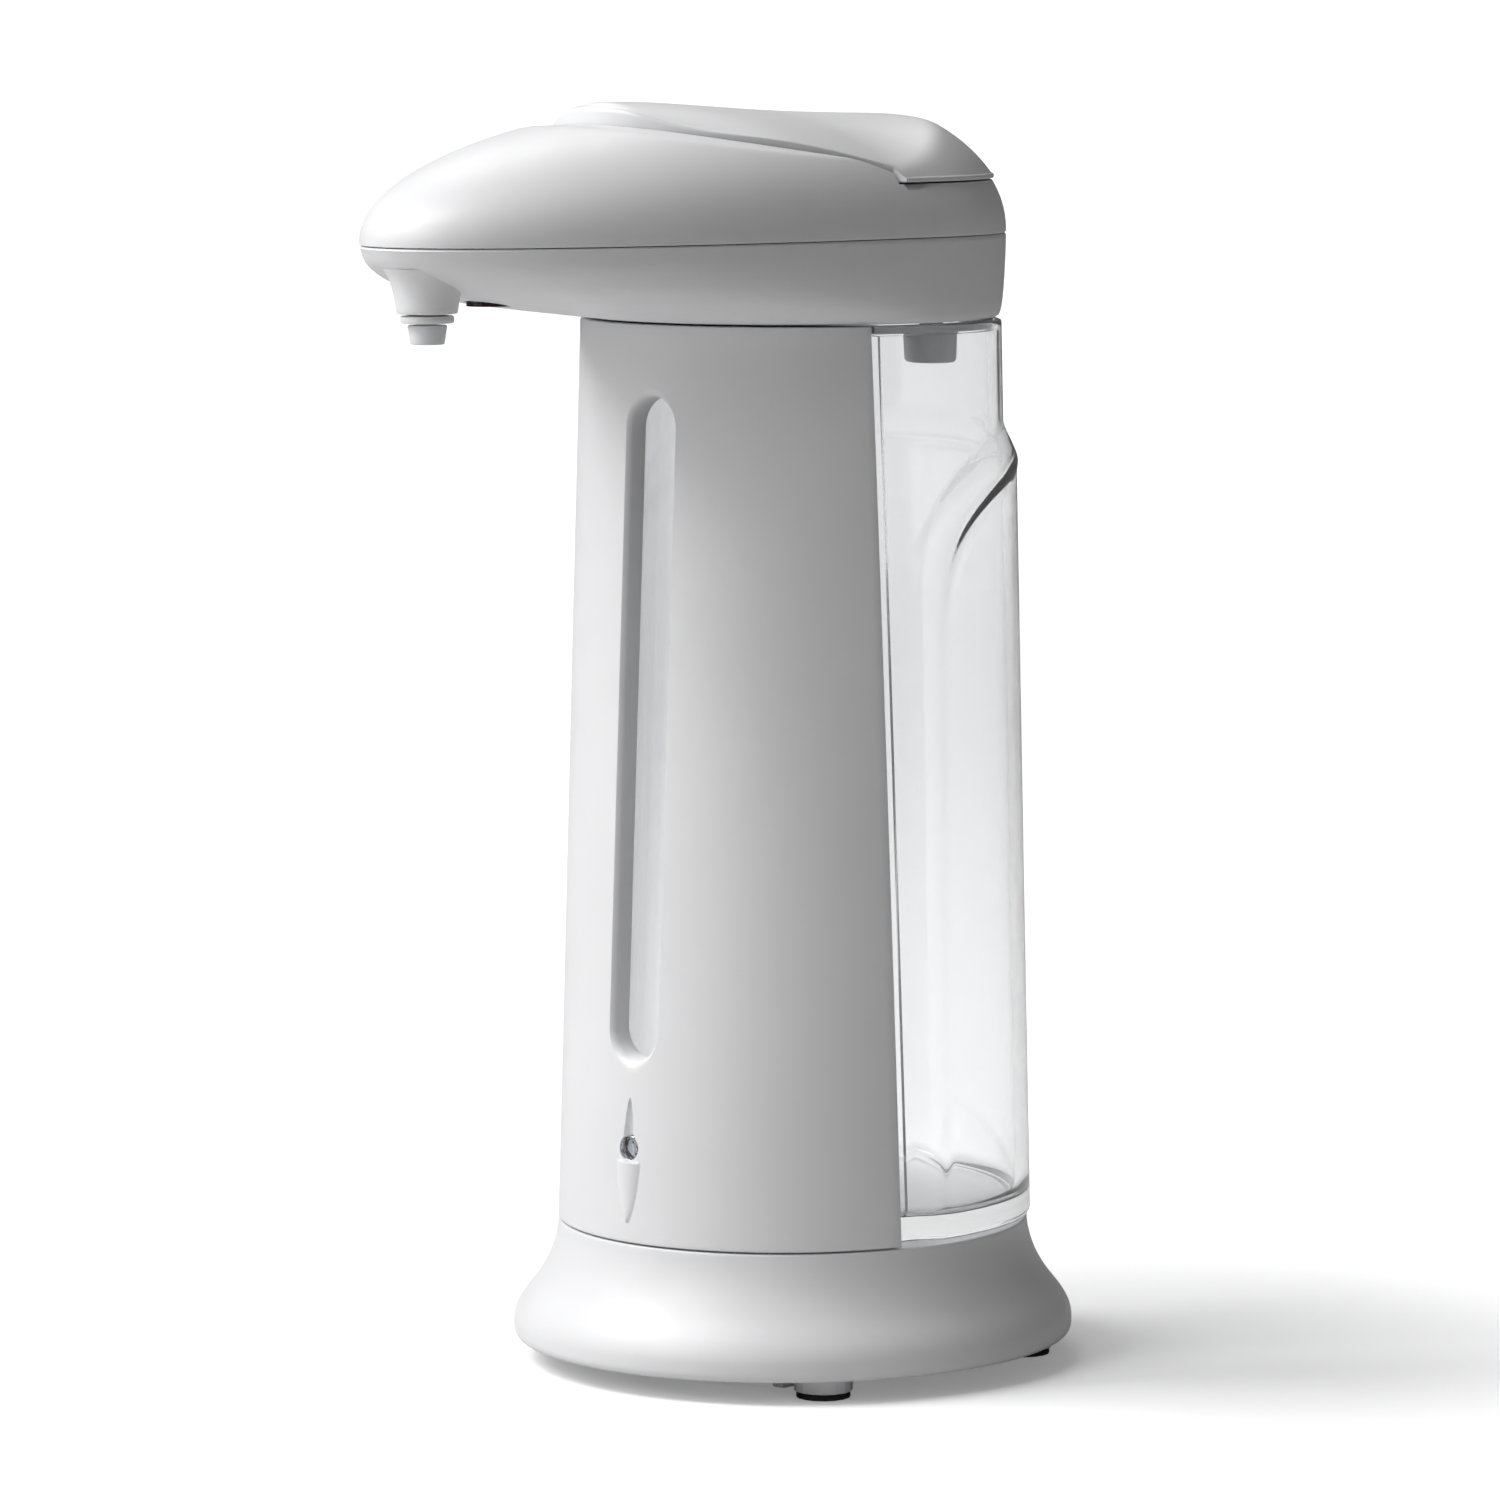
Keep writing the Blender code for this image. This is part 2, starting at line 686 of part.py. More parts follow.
def make_tank():
    arch = [ARCH_TOP_Z + offset for offset in (-29, -20, -15, -11, -8, -5, -2.5, 0, 1.5)]
    outer = [tank_ring(z, 0) for z in (TANK_LOW_Z, *arch, TANK_TOP_Z)]
    inner = [tank_ring(z, TANK_LIP, 0.03) for z in (TANK_TOP_Z, TANK_LEDGE_Z)]
    inner += [tank_ring(z, TANK_WALL, 0.075) for z in (TANK_LEDGE_Z, *reversed(arch), TANK_FLOOR_Z)]
    new_object("tank", loft(outer + inner), CLEAR, 0.05)


def make_tank_gasket():
    """A flat ring on the ledge inside the tank's lip."""
    low = TANK_LEDGE_Z + GAP
    top = KEEL[0][0] - GAP
    outer = [tank_ring(z, TANK_LIP + GAP, 0.04) for z in (low, top)]
    inner = [tank_ring(z, TANK_WALL + 0.4, 0.09) for z in (top, low)]
    new_object("tank_gasket", hoop(outer + inner), SILICONE, 0.4)


def make_tank_fittings():
    vent = [
        (VENT_RADIUS - 0.9, 155.8),
        (VENT_RADIUS - 0.1, 156.5),
        (VENT_RADIUS, 163.6),
        (VENT_STEM_RADIUS, 163.6),
        (VENT_STEM_RADIUS, 168.4),
    ]
    new_object("vent_valve", turned(VENT, vent), SILICONE, 0.5)
    new_object("suction_strainer", pipe((SUCTION_X, SUCTION_Y), 3.0, 1.8, (26.9, 33.0), 16), WHITE, 0.5)


# ---------------------------------------------------------------- head


def make_head_lower_shell():
    outer = [egg(section[1:], section[0]) for section in KEEL]
    top = KEEL[-1][0]
    inner = [egg(grown(section[1:], -HEAD_WALL), min(section[0] + HEAD_WALL, top)) for section in KEEL[::-2]]
    shell = new_object("head_lower_shell", loft(outer + inner), WHITE, 0.45)
    collar = [(4.5, 169.0), (5.5, 175.8)]
    join(shell, helper("nozzle_collar", turned((0, NOZZLE_Y), collar, 24)))
    for i, place in enumerate(PUMP_SCREWS):
        join(shell, helper(f"pump_boss_{i}", cylinder(place, PUMP_BOSS_RADIUS, (169.6, PUMP_Z[1]), 16)))
        cut(shell, helper(f"pump_boss_hole_{i}", cylinder(place, PILOT_RADIUS, (173.0, 185.0), 12)))
    cut(
        shell,
        helper("nozzle_bore", cylinder((0, NOZZLE_Y), 2.6, (160, 178.5))),
        helper("filler_pass", cylinder((0, FILLER_Y), FILLER_RADIUS + GAP, PASS_Z, 32)),
        helper("vent_pass", cylinder(VENT, VENT_STEM_RADIUS + GAP, PASS_Z, 16)),
        helper("suction_pass", cylinder((SUCTION_X, SUCTION_Y), 1.9, PASS_Z, 16)),
        helper("lead_pass", cylinder(LEAD_TOP, 1.5, PASS_Z, 12)),
        helper("sensor_pass", cylinder((0, SENSOR_Y), SENSOR_RADIUS + GAP, (160, 178), 24)),
    )


def dome(x, y, size, low_z, rise):
    """Height of an egg-shaped dome over the plan point."""
    half_width, front, rear = size
    reach = (x / half_width) ** 2 + (y / (rear if y > 0 else front)) ** 2
    return low_z + rise * math.sqrt(max(0.0, 1 - reach))


def dome_clip(x):
    """The flattened crown on which the lid lies."""
    return DOME_CLIP_Z - DOME_CLIP_CURVE * x * x


def lid_surface(x, y):
    """The lid's saddle: highest over the hinge, falling to the rear and to both sides."""
    crest_y, low, rise, spread = LID_CREST
    middle = low + rise / (1 + ((y - crest_y) / spread) ** 2)
    steep = max(0.0, (LID_NOTCH_Y - y) / 27)
    curve = between(0.0088, 0.0035, smoothstep(LID_NOTCH_Y, 15, y)) + 0.008 * steep**4
    return middle - curve * x * x


def lid_front(x):
    return LID_FRONT_Y + (LID_NOTCH_Y - LID_FRONT_Y) * abs(x / LID_HALF_WIDTH) ** LID_FRONT_POWER


def nose_half(x, y):
    """Half the thickness of the lid's nose, which is round about the hinge so that it can turn."""
    radius = HINGE_Y - lid_front(x)
    return math.sqrt(max(NOSE_EDGE**2, radius * abs(radius) - (y - HINGE_Y) ** 2))


def lid_top(x, y, share):
    height = lid_surface(x, y)
    if y < HINGE_Y:
        height = min(height, HINGE_Z + nose_half(x, y))
    if y > LID_NOTCH_Y - 1:
        skirt = dome(x, y, grown(HEAD_SIZE, LID_PROUD), DOME_LOW_Z, DOME_RISE + LID_PROUD)
        height = min(height, max(skirt, LID_SKIRT_Z + 0.8))
    return height


def lid_underside(x, y, share):
    if y > LID_NOTCH_Y + 0.6 and share > 0.93:
        return LID_SKIRT_Z
    height = lid_top(x, y, share) - LID_THICK
    if y < LID_NOTCH_Y:
        height = min(height, dome_clip(x) + LID_LIFT)
    if y < HINGE_Y:
        height = max(height, HINGE_Z - nose_half(x, y))
    return height


def lid_outline(outset=0.0):
    """Half of it, from the front to the rear, then its mirror image."""
    half = []
    for i in range(11):
        x = LID_HALF_WIDTH * i / 10
        half.append((x + outset, lid_front(x)) if i else (0, LID_FRONT_Y - outset))
    for i in range(11):
        angle = math.radians(between(LID_REAR_START, 90, i / 10))
        point = egg_point(grown(LID_REAR_SIZE, outset), angle, 0)
        half.append((point[0], point[1]))
    return half[:-1] + [(0, half[-1][1])] + [(-x, y) for x, y in reversed(half[1:-1])]


def lug_outline(x):
    """One side of the lug that holds the hinge pin: a round end, a bar to the rear and a foot."""
    side = [(HINGE_Y + 3.8, 194.0), (HINGE_Y + 3.8, HINGE_Z - 1.1)]
    for i in range(13):
        angle = math.radians(-58 - i * 20)
        side.append((HINGE_Y + LUG_RADIUS * math.cos(angle), HINGE_Z + LUG_RADIUS * math.sin(angle)))
    side += [(HINGE_Y + 6.6, HINGE_Z + 1.1), (HINGE_Y + 6.6, 194.0)]
    return [(x, y, z) for y, z in side]


def make_head_upper_shell():
    plan = [(x, y) for x, y, z in egg(HEAD_SIZE, 0)]
    shares = [math.sin(math.pi / 2 * i / 9) for i in range(9, 0, -1)]

    def crown(x, y, share):
        return min(dome(x, y, HEAD_SIZE, DOME_LOW_Z + 0.5, DOME_RISE - 0.5), dome_clip(x))

    shell = loft([egg(HEAD_SIZE, DOME_LOW_Z)] + field_rings(plan, (0, -8), shares, crown), False)
    shell = new_object("head_upper_shell", shell, WHITE, 0.45)

    inside_size = grown(HEAD_SIZE, -HEAD_WALL)
    inside_plan = [(x, y) for x, y, z in egg(inside_size, 0, 36)]

    def ceiling(x, y, share):
        under_dome = dome(x, y, inside_size, DOME_LOW_Z, DOME_RISE - HEAD_WALL)
        under_lid = lid_surface(x, max(y, -25)) - LID_THICK - GAP - HEAD_WALL
        return min(under_dome, under_lid, dome_clip(x) - HEAD_WALL, HINGE_Z - 4.7)

    inside_rings = [egg(inside_size, DOME_LOW_Z - 2, 36)]
    inside_rings += field_rings(inside_plan, (0, -8), shares[::2], ceiling)
    inside = helper("head_inside", loft(inside_rings, False))
    cut(inside, helper("deck_block", box((-50, 50), (LID_NOTCH_Y - 2.2, 60), (DECK_Z - 1.8, 220))))

    def seat(x, y, share):
        return lid_surface(x, y) - LID_THICK - GAP

    recess_rings = field_rings(lid_outline(GAP), (0, -8), (0.2, 0.4, 0.6, 0.8, 1.0), seat)
    recess = helper("lid_recess", loft(recess_rings + [[(x, y, 215) for x, y in lid_outline(GAP)]], False))
    groove_rings = [
        [(x, y - GROOVE_GAP, z) for x, y in lid_outline(GAP)] for z in (GROOVE_Z, DOME_CLIP_Z + 10)
    ]
    groove = helper("hinge_groove", loft(groove_rings))
    groove_y = (LID_FRONT_Y - 10, HINGE_Y + 2.4)
    groove_end = box((-GROOVE_HALF, GROOVE_HALF), groove_y, (GROOVE_Z - 5, DOME_CLIP_Z + 5))
    combine(groove, "INTERSECT", helper("hinge_groove_end", groove_end))
    cut(
        shell,
        recess,
        helper("deck_space", box((-50, 50), (LID_NOTCH_Y - GAP, 60), (DECK_Z, 220))),
        inside,
        groove,
        helper("funnel_pass", cylinder((0, FILLER_Y), FILLER_RADIUS + GAP, (180, 200), 32)),
    )
    join(shell, helper("hinge_lug", loft([lug_outline(x) for x in (-LUG_HALF, LUG_HALF)])))
    cut(shell, helper("lug_bore", rod(HINGE_PIN_RADIUS + 0.1, (-20, 20), "X", (HINGE_Y, HINGE_Z), 16)))


def on_hinge(bm):
    """Moves a body to where its origin is the lid's hinge."""
    bmesh.ops.translate(bm, vec=(0, -HINGE_Y, -HINGE_Z), verts=bm.verts)
    return bm


def make_lid():
    hinge = (0, HINGE_Y, HINGE_Z)
    top = field_rings(lid_outline(), (0, -8), (1.0, 0.965, 0.9, 0.75, 0.5, 0.2), lid_top)
    under = field_rings(lid_outline(), (0, -8), (0.2, 0.5, 0.75, 0.925, 0.935, 1.0), lid_underside)
    lid = new_object("lid", on_hinge(loft(under + top, False)), WHITE, 0.45, at=hinge)
    knuckle = on_hinge(rod(KNUCKLE_RADIUS, (-KNUCKLE_HALF, KNUCKLE_HALF), "X", (HINGE_Y, HINGE_Z), 20))
    plug = on_hinge(cylinder((0, FILLER_Y), 10.4, (190.5, 196.0), 24))
    join(lid, helper("lid_knuckle", knuckle, at=hinge), helper("lid_plug", plug, at=hinge))
    pocket = box((-LUG_HALF - 0.4, LUG_HALF + 0.4), (LID_FRONT_Y + 0.9, HINGE_Y + 7.1), (185, HINGE_Z + 1.5))
    pin_half = KNUCKLE_HALF - 0.8
    bore = rod(HINGE_PIN_RADIUS + 0.1, (-pin_half - GAP, pin_half + GAP), "X", (HINGE_Y, HINGE_Z), 16)
    cut(lid, helper("lug_pocket", on_hinge(pocket), at=hinge), helper("pin_bore", on_hinge(bore), at=hinge))
    pin = rod(HINGE_PIN_RADIUS, (-pin_half, pin_half), "X", (HINGE_Y, HINGE_Z), 16)
    new_object("lid_hinge_pin", pin, STEEL, 0.25, 1.0)
    seal = on_hinge(turned((0, FILLER_Y), [(11.0, 188.9), (13.2, 189.2), (13.2, 190.2)], 28))
    new_object("lid_seal", seal, SILICONE, 0.5, at=hinge)


def make_filler_funnel():
    profile = [
        (FILLER_RADIUS, 165.9),
        (FILLER_RADIUS, DECK_Z + GAP),
        (15.0, DECK_Z + GAP),
        (15.0, 188.6),
        (FILLER_RADIUS - 1.2, 188.6),
        (FILLER_RADIUS - 1.2, 165.9),
    ]
    new_object("filler_funnel", hoop(disc_rings((0, FILLER_Y), profile, 32)), WHITE, 0.5)


def make_nozzle():
    ring = pipe((0, NOZZLE_Y), 4.04, 1.7, (167.6, 168.7), 24)
    new_object("nozzle_ring", ring, WHITE, 0.4)
    profile = [(2.6, 164.4), (3.03, 167.3), (1.6, 167.3), (1.6, 164.4)]
    new_object("nozzle_tip", hoop(disc_rings((0, NOZZLE_Y), profile, 24)), SILICONE, 0.3)


def make_hand_sensor():
    new_object("sensor_window", cylinder((0, SENSOR_Y), SENSOR_RADIUS, (169.7, 171.6), 24), DARK_LENS, 0.1)
    for name, x in (("emitter", -1.6), ("receiver", 1.6)):
        profile = [(0.7, 171.9), (1.2, 172.3), (1.3, 173.5)]
        new_object(f"sensor_{name}", turned((x, SENSOR_Y), profile, 12), DARK_LENS, 0.2)
    new_object("sensor_board", box((-5, 8), (-69, -62), (174.2, 175.3)), BOARD_GREEN, 0.5)


# ---------------------------------------------------------------- pump


def make_pump_housing():
    centre = (0, PUMP_Y)
    low, top = PUMP_Z
    floor = low + 1.2
    profile = [
        (PUMP_OUTER, low),
        (PUMP_OUTER, top),
        (PUMP_BORE, top),
        (PUMP_BORE, floor),
        (1.4, floor),
        (1.4, low),
    ]
    housing = new_object("pump_housing", hoop(disc_rings(centre, profile, 32)), GREY_PLASTIC, 0.5)
    for side in (-1, 1):
        x = sorted((side * (TUBE_ORBIT - 1.8), side * (TUBE_ORBIT + 1.8)))
        cut(housing, helper(f"tube_gate_{side + 1}", box(x, (PUMP_Y - 20, PUMP_Y), (TUBE_Z - 1.8, top + 3))))


def make_gear_plate():
    plate = new_object("gear_plate", cylinder((0, PUMP_Y), PUMP_OUTER, PLATE_Z, 32), GREY_PLASTIC, 0.5)
    join(
        plate,
        helper("plate_motor_end", cylinder(MOTOR_XY, 8.6, PLATE_Z, 24)),
        helper("plate_web", box((-8.4, 13.4), (PUMP_Y + 1, -19), PLATE_Z)),
        helper("plate_ears", box((-25.4, 25.4), (-47, -41), PLATE_Z)),
    )
    reach = (PLATE_Z[0] - 2, PLATE_Z[1] + 2)
    cut(
        plate,
        helper("rotor_shaft_hole", cylinder((0, PUMP_Y), 2.6, reach)),
        helper("idler_axle_hole", cylinder(IDLER_XY, AXLE_BORE, reach, 16)),
        helper("motor_shaft_hole", cylinder(MOTOR_XY, 1.6, reach, 16)),
    )
    for i, place in enumerate(PUMP_SCREWS):
        cut(plate, helper(f"plate_ear_hole_{i}", cylinder(place, SCREW_HOLE_RADIUS, reach, 12)))
        screw(f"pump_screw_{i + 1}", place, 2.3, (184.4, PLATE_Z[1] + 0.2), 175.0)


def make_rotor():
    at = (0, PUMP_Y, 0)
    profile = [
        (1.2, 171.2),
        (1.2, 172.5),
        (ROTOR_DISC_RADIUS, 172.5),
        (ROTOR_DISC_RADIUS, 173.9),
        (4.4, 173.9),
        (4.4, 179.2),
        (ROTOR_DISC_RADIUS, 179.2),
        (ROTOR_DISC_RADIUS, 180.6),
        (2.2, 180.6),
        (2.2, 185.7),
    ]
    rotor = new_object("pump_rotor", turned((0, 0), profile, 24), WHITE, 0.4, at=at)
    for i in range(ROLLER_COUNT):
        angle = math.radians(90 + 360 * i / ROLLER_COUNT)
        x = ROLLER_ORBIT * math.cos(angle)
        y = ROLLER_ORBIT * math.sin(angle)
        join(rotor, helper(f"roller_pin_{i}", cylinder((x, y), ROLLER_PIN_RADIUS, (173.4, 179.7), 12), at=at))
        roller = pipe((0, 0), ROLLER_RADIUS, 1.1, (174.2, 178.9), 16)
        new_object(f"pump_roller_{i + 1}", roller, GREY_PLASTIC, 0.3, at=(x, PUMP_Y + y, 0))


def gear_node(name, centre, discs, bore, colour):
    """A gear on its own axis; each disc is (teeth, height range, phase)."""
    first, *others = discs
    body = new_object(name, gear((0, 0), *first), colour, 0.4, at=(*centre, 0))
    for i, disc in enumerate(others):
        join(body, helper(f"{name}_disc_{i}", gear((0, 0), *disc), at=(*centre, 0)))
    cut(body, helper(f"{name}_bore", cylinder((0, 0), bore, (175, 195), 16), at=(*centre, 0)))


def mesh_phase(own_centre, own_teeth, other_centre, other_teeth, other_phase):
    """The phase at which a gear's gap faces a tooth of the gear that it meets."""
    towards = math.atan2(own_centre[1] - other_centre[1], own_centre[0] - other_centre[0])
    other_offset = (towards - other_phase) * other_teeth / own_teeth
    return towards + math.pi + math.pi / own_teeth + other_offset


def make_gears():
    rotor_centre = (0, PUMP_Y)
    small_phase = mesh_phase(IDLER_XY, IDLER_SMALL_TEETH, rotor_centre, ROTOR_TEETH, 0.0)
    pinion_phase = mesh_phase(MOTOR_XY, PINION_TEETH, IDLER_XY, IDLER_BIG_TEETH, 0.0)
    gear_node("rotor_gear", rotor_centre, [(ROTOR_TEETH, LOW_GEAR_Z, 0.0)], 2.35, GEAR_CREAM)
    idler = [
        (IDLER_BIG_TEETH, HIGH_GEAR_Z, 0.0),
        (IDLER_SMALL_TEETH, (LOW_GEAR_Z[0], HIGH_GEAR_Z[0] + 0.5), small_phase),
    ]
    gear_node("idler_gear", IDLER_XY, idler, AXLE_BORE, GEAR_CREAM)
    gear_node("motor_pinion", MOTOR_XY, [(PINION_TEETH, HIGH_GEAR_Z, pinion_phase)], 1.1, BRASS)
    axle = cylinder(IDLER_XY, AXLE_RADIUS, (PLATE_Z[0] + 0.1, 188.4), 16)
    new_object("idler_axle", axle, STEEL, 0.25, 1.0)


def make_motor():
    can = [(5.5, 168.4), (MOTOR_RADIUS, 169.2), (MOTOR_RADIUS, 181.0), (1.35, 181.0), (1.35, 175.4)]
    new_object("motor", turned(MOTOR_XY, can, 24), STEEL, 0.3, 1.0)
    new_object("motor_shaft", cylinder((0, 0), 0.95, (175.8, 188.4), 16), STEEL, 0.2, 1.0, at=(*MOTOR_XY, 0))


def make_hoses():
    orbit = TUBE_ORBIT
    inlet_turn = [
        (SUCTION_X, -50, TUBE_Z),
        (16.7, -54.6, TUBE_Z),
        (14.5, -56.3, TUBE_Z),
        (12.3, -55.0, TUBE_Z),
    ]
    suction = [
        (SUCTION_X, SUCTION_Y, 28.5),
        (SUCTION_X, SUCTION_Y, 100),
        (SUCTION_X, SUCTION_Y, 170.5),
        (SUCTION_X, SUCTION_Y - 1.4, 175.0),
        (SUCTION_X, SUCTION_Y - 6, TUBE_Z),
        (SUCTION_X, -35, TUBE_Z),
    ]
    hose("suction_tube", suction + inlet_turn + [(orbit, -53.6, TUBE_Z)], TUBE_RADIUS, TUBE_CLEAR)
    arc = []
    for i in range(13):
        angle = math.pi * i / 12
        arc.append((orbit * math.cos(angle), PUMP_Y + orbit * math.sin(angle), TUBE_Z))
    ends = [(orbit, -53.2, TUBE_Z), (orbit, -46.5, TUBE_Z)]
    hose("pump_tube", ends + arc + [(-x, y, z) for x, y, z in reversed(ends)], TUBE_RADIUS, TUBE_CLEAR)
    outlet = [
        (-orbit, -53.6, TUBE_Z),
        (-orbit, -58, TUBE_Z),
        (-9.6, -66, TUBE_Z + 0.8),
        (-4.2, -74.5, TUBE_Z + 2.2),
        (-0.7, -78.9, TUBE_Z + 1.6),
        (0, NOZZLE_Y, 176.0),
        (0, NOZZLE_Y, 169.2),
    ]
    hose("outlet_tube", outlet, TUBE_RADIUS, TUBE_CLEAR)
    lead = [
        (LEAD_LOW[0], -21.2, 18.6),
        (LEAD_LOW[0], -28, 18.7),
        (LEAD_LOW[0], LEAD_LOW[1] + 0.8, 19.0),
        (LEAD_LOW[0], LEAD_LOW[1], 20.4),
        (LEAD_LOW[0], LEAD_LOW[1], 28),
        (-10, between(LEAD_LOW[1], LEAD_TOP[1], 0.5), 95),
        (LEAD_TOP[0], LEAD_TOP[1], 160),
        (LEAD_TOP[0], LEAD_TOP[1], 168.5),
        (-9.8, -22.6, 171.5),
    ]
    hose("power_lead", lead, 0.8, LEAD_RED)


def main():
    clear_scene()
    root = bpy.data.objects.new("dispenser", None)
    root.location = (0, AXIS_Y * MM, 0)
    bpy.context.scene.collection.objects.link(root)
    make_base_shell()
    make_base_plate()
    make_feet()
    make_base_screws()
    make_battery_compartment()
    make_battery_door()
    make_power_switch()
    make_main_board()
    make_column_shell()
    make_level_window()
    make_status_light()
    make_tank()
    make_tank_gasket()
    make_tank_fittings()
    make_head_lower_shell()
    make_head_upper_shell()
    make_lid()
    make_filler_funnel()
    make_nozzle()
    make_hand_sensor()
    make_pump_housing()
    make_gear_plate()
    make_rotor()
    make_gears()
    make_motor()
    make_hoses()


main()
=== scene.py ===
"""Looks of the automatic soap dispenser: satin white shells, a clear tank, a hinged lid, a silicone nozzle.

Sizes are millimetres in the part's own layout: heights from the floor, plan positions from the column's
axis, -Y to the front. The column's axis lies AXIS_Y behind the frame's origin, and everything becomes
metres when a mesh is made. An egg or oval in plan is (half width, reach to the front, reach to the rear).
"""

import json
import math

import bmesh
import bpy
import numpy as np
from mathutils import Matrix, Vector


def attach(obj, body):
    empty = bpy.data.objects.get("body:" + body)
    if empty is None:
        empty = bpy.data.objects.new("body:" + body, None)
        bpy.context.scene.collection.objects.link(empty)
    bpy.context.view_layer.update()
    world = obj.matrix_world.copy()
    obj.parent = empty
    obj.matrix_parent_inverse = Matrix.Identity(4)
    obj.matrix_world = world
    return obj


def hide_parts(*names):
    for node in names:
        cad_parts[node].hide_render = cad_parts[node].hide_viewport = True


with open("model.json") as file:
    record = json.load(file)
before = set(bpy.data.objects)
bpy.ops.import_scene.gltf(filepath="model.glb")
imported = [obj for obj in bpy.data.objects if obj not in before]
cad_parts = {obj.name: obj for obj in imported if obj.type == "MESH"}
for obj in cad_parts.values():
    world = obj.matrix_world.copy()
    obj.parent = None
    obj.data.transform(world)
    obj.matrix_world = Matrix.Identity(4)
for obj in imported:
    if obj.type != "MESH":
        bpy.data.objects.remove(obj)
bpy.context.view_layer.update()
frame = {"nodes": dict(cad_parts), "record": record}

MM = 0.001
AXIS_Y = 21.25
GAP = 0.3

# Column
COLUMN_LOW_Z = 22.7
COLUMN_TOP_Z = 165.5
COLUMN_LOW = (36.9, 38.3, 37.7)
COLUMN_TOP = (35.0, 31.4, 31.2)
SHELL_WALL = 2.4
SPLIT_Y_LOW = -12.4
SPLIT_Y_TOP = -14.8
SPLIT_DRAW_IN = 0.5
END_ROUNDING = 0.3
RELIEF_HALF = 3.2

# Base: (height, outset from the column's foot) round the rim and up the flare
BASE_PROFILE = (
    (3.5, 5.9),
    (3.62, 6.45),
    (4.0, 6.9),
    (4.6, 7.14),
    (5.5, 7.2),
    (6.6, 7.16),
    (7.5, 6.96),
    (8.5, 6.55),
    (9.6, 5.9),
    (10.8, 5.0),
    (12.7, 3.5),
    (14.6, 2.3),
    (16.5, 1.35),
    (18.5, 0.65),
    (20.5, 0.2),
    (22.1, 0.0),
    (22.4, -0.2),
)
BASE_WALL = 2.0
BASE_TOP_Z = 22.4

# Slot and status light
SLOT_LOW_Z = 51.3
SLOT_TOP_Z = 154.3
SLOT_HALF = 4.8
SLOT_DEPTH = 4.2
SLOT_ROUNDING = 1.5
LIGHT_Z = 37.5
LIGHT_RADIUS = 1.9
# The mark round the light: a pressed groove above it and a raised tongue below it
MARK_GROOVE_HEIGHT = 7.6
MARK_GROOVE_HALF = 1.45
MARK_GROOVE_DEPTH = 0.9
MARK_TONGUE_DROP = 1.9
MARK_TONGUE_LENGTH = 9.6
MARK_TONGUE_HALF = 2.5
MARK_TONGUE_RISE = 0.75

# Tank
TANK_LOW_Z = 23.0
TANK_TOP_Z = 165.4
TANK_LEDGE_Z = 163.9
TANK_LIP = 1.0
TANK_WALL = 2.2
TANK_FLOOR_ROUNDING = 2.0
TANK_FLOOR_Z = 26.4
TANK_FRONT_INSET = 7.2
TANK_EDGE_INSET = 3.2
# How far, in radians, the inner faces stop short of the split
TANK_LIP_SHIFT = 0.03
TANK_WALL_SHIFT = 0.075
TANK_RECESS = 2.0
# How far the rear stands proud of the oval at its foot and top, and the angles over which that fades
TANK_PROUD = (0.6, 1.8)
TANK_PROUD_ANGLES = (60, 105)
ARCH_TOP_Z = 148.0
ARCH_RISE = 28.0
ARCH_HALF_ANGLE = 99.0
ARCH_BEAD = 0.2
ARCH_SLOPE_TOP = 3.2
ARCH_SLOPE_LEG = 2.8
ARCH_LEG_FADE = (12, 34)
WALL_RADIUS = 34.0

# Head
HEAD_SIZE = (35.0, 87.4, 32.4)
HEAD_WALL = 1.9
# Height, half width, front and rear of the head's underside
KEEL = (
    (165.8, 33.6, 30.4, 30.3),
    (166.1, 34.15, 33.0, 30.9),
    (166.9, 34.4, 41.0, 31.3),
    (168.3, 34.6, 54.0, 31.6),
    (169.7, 34.7, 65.5, 31.8),
    (171.5, 34.8, 75.0, 32.0),
    (173.4, 34.9, 81.0, 32.1),
    (175.9, 34.97, 85.6, 32.3),
    (178.6, 35.0, 87.35, 32.4),
    (178.9, 34.8, 87.1, 32.2),
)
DOME_LOW_Z = 179.3
DOME_FOOT_Z = 179.06
DOME_RISE = 21.7
DOME_CLIP_Z = 196.6
DOME_CLIP_CURVE = 0.0065
DECK_Z = 187.2
# The rings of the head's and the lid's faces close in on this point
FACE_MIDDLE = (0.0, -8.0)

# Lid
LID_FRONT_Y = -44.5
LID_FRONT_POWER = 2.3
LID_NOTCH_Y = -10.0
LID_HALF_WIDTH = 31.0
LID_SKIRT_Z = 187.5
LID_PROUD = 0.6
LID_REAR_SIZE = (33.0, 82.0, 30.6)
LID_REAR_START = -6.3
LID_THICK = 2.3
# The ridge from front to rear: its crest's Y, its lowest height, its rise and its spread
LID_CREST = (-41.0, 196.6, 3.4, 33.2)
LID_ROUNDING = 0.9
LID_EDGE = 0.4
HINGE_Y = -42.0
HINGE_Z = 197.4
NOSE_EDGE = 0.2
KNUCKLE_HALF = 6.0
GROOVE_HALF = 9.9
GROOVE_GAP = 0.4
GROOVE_Z = 194.1
LID_LIFT = 0.4
KNUCKLE_RADIUS = 1.7
PIN_RADIUS = 0.85
LUG_HALF = 3.0
LUG_RADIUS = 1.3
LUG_REACH = 6.6
LUG_THICK_HALF = 1.1
POCKET_HALF = 3.4

# Filler, vent, nozzle and hand sensor
FILLER_Y = 8.0
FILLER_RADIUS = 12.6
VENT = (14.0, 17.5)
NOZZLE_Y = -79.6
SENSOR_Y = -67.0
SENSOR_RADIUS = 3.2
FUNNEL_TOP_Z = 188.6

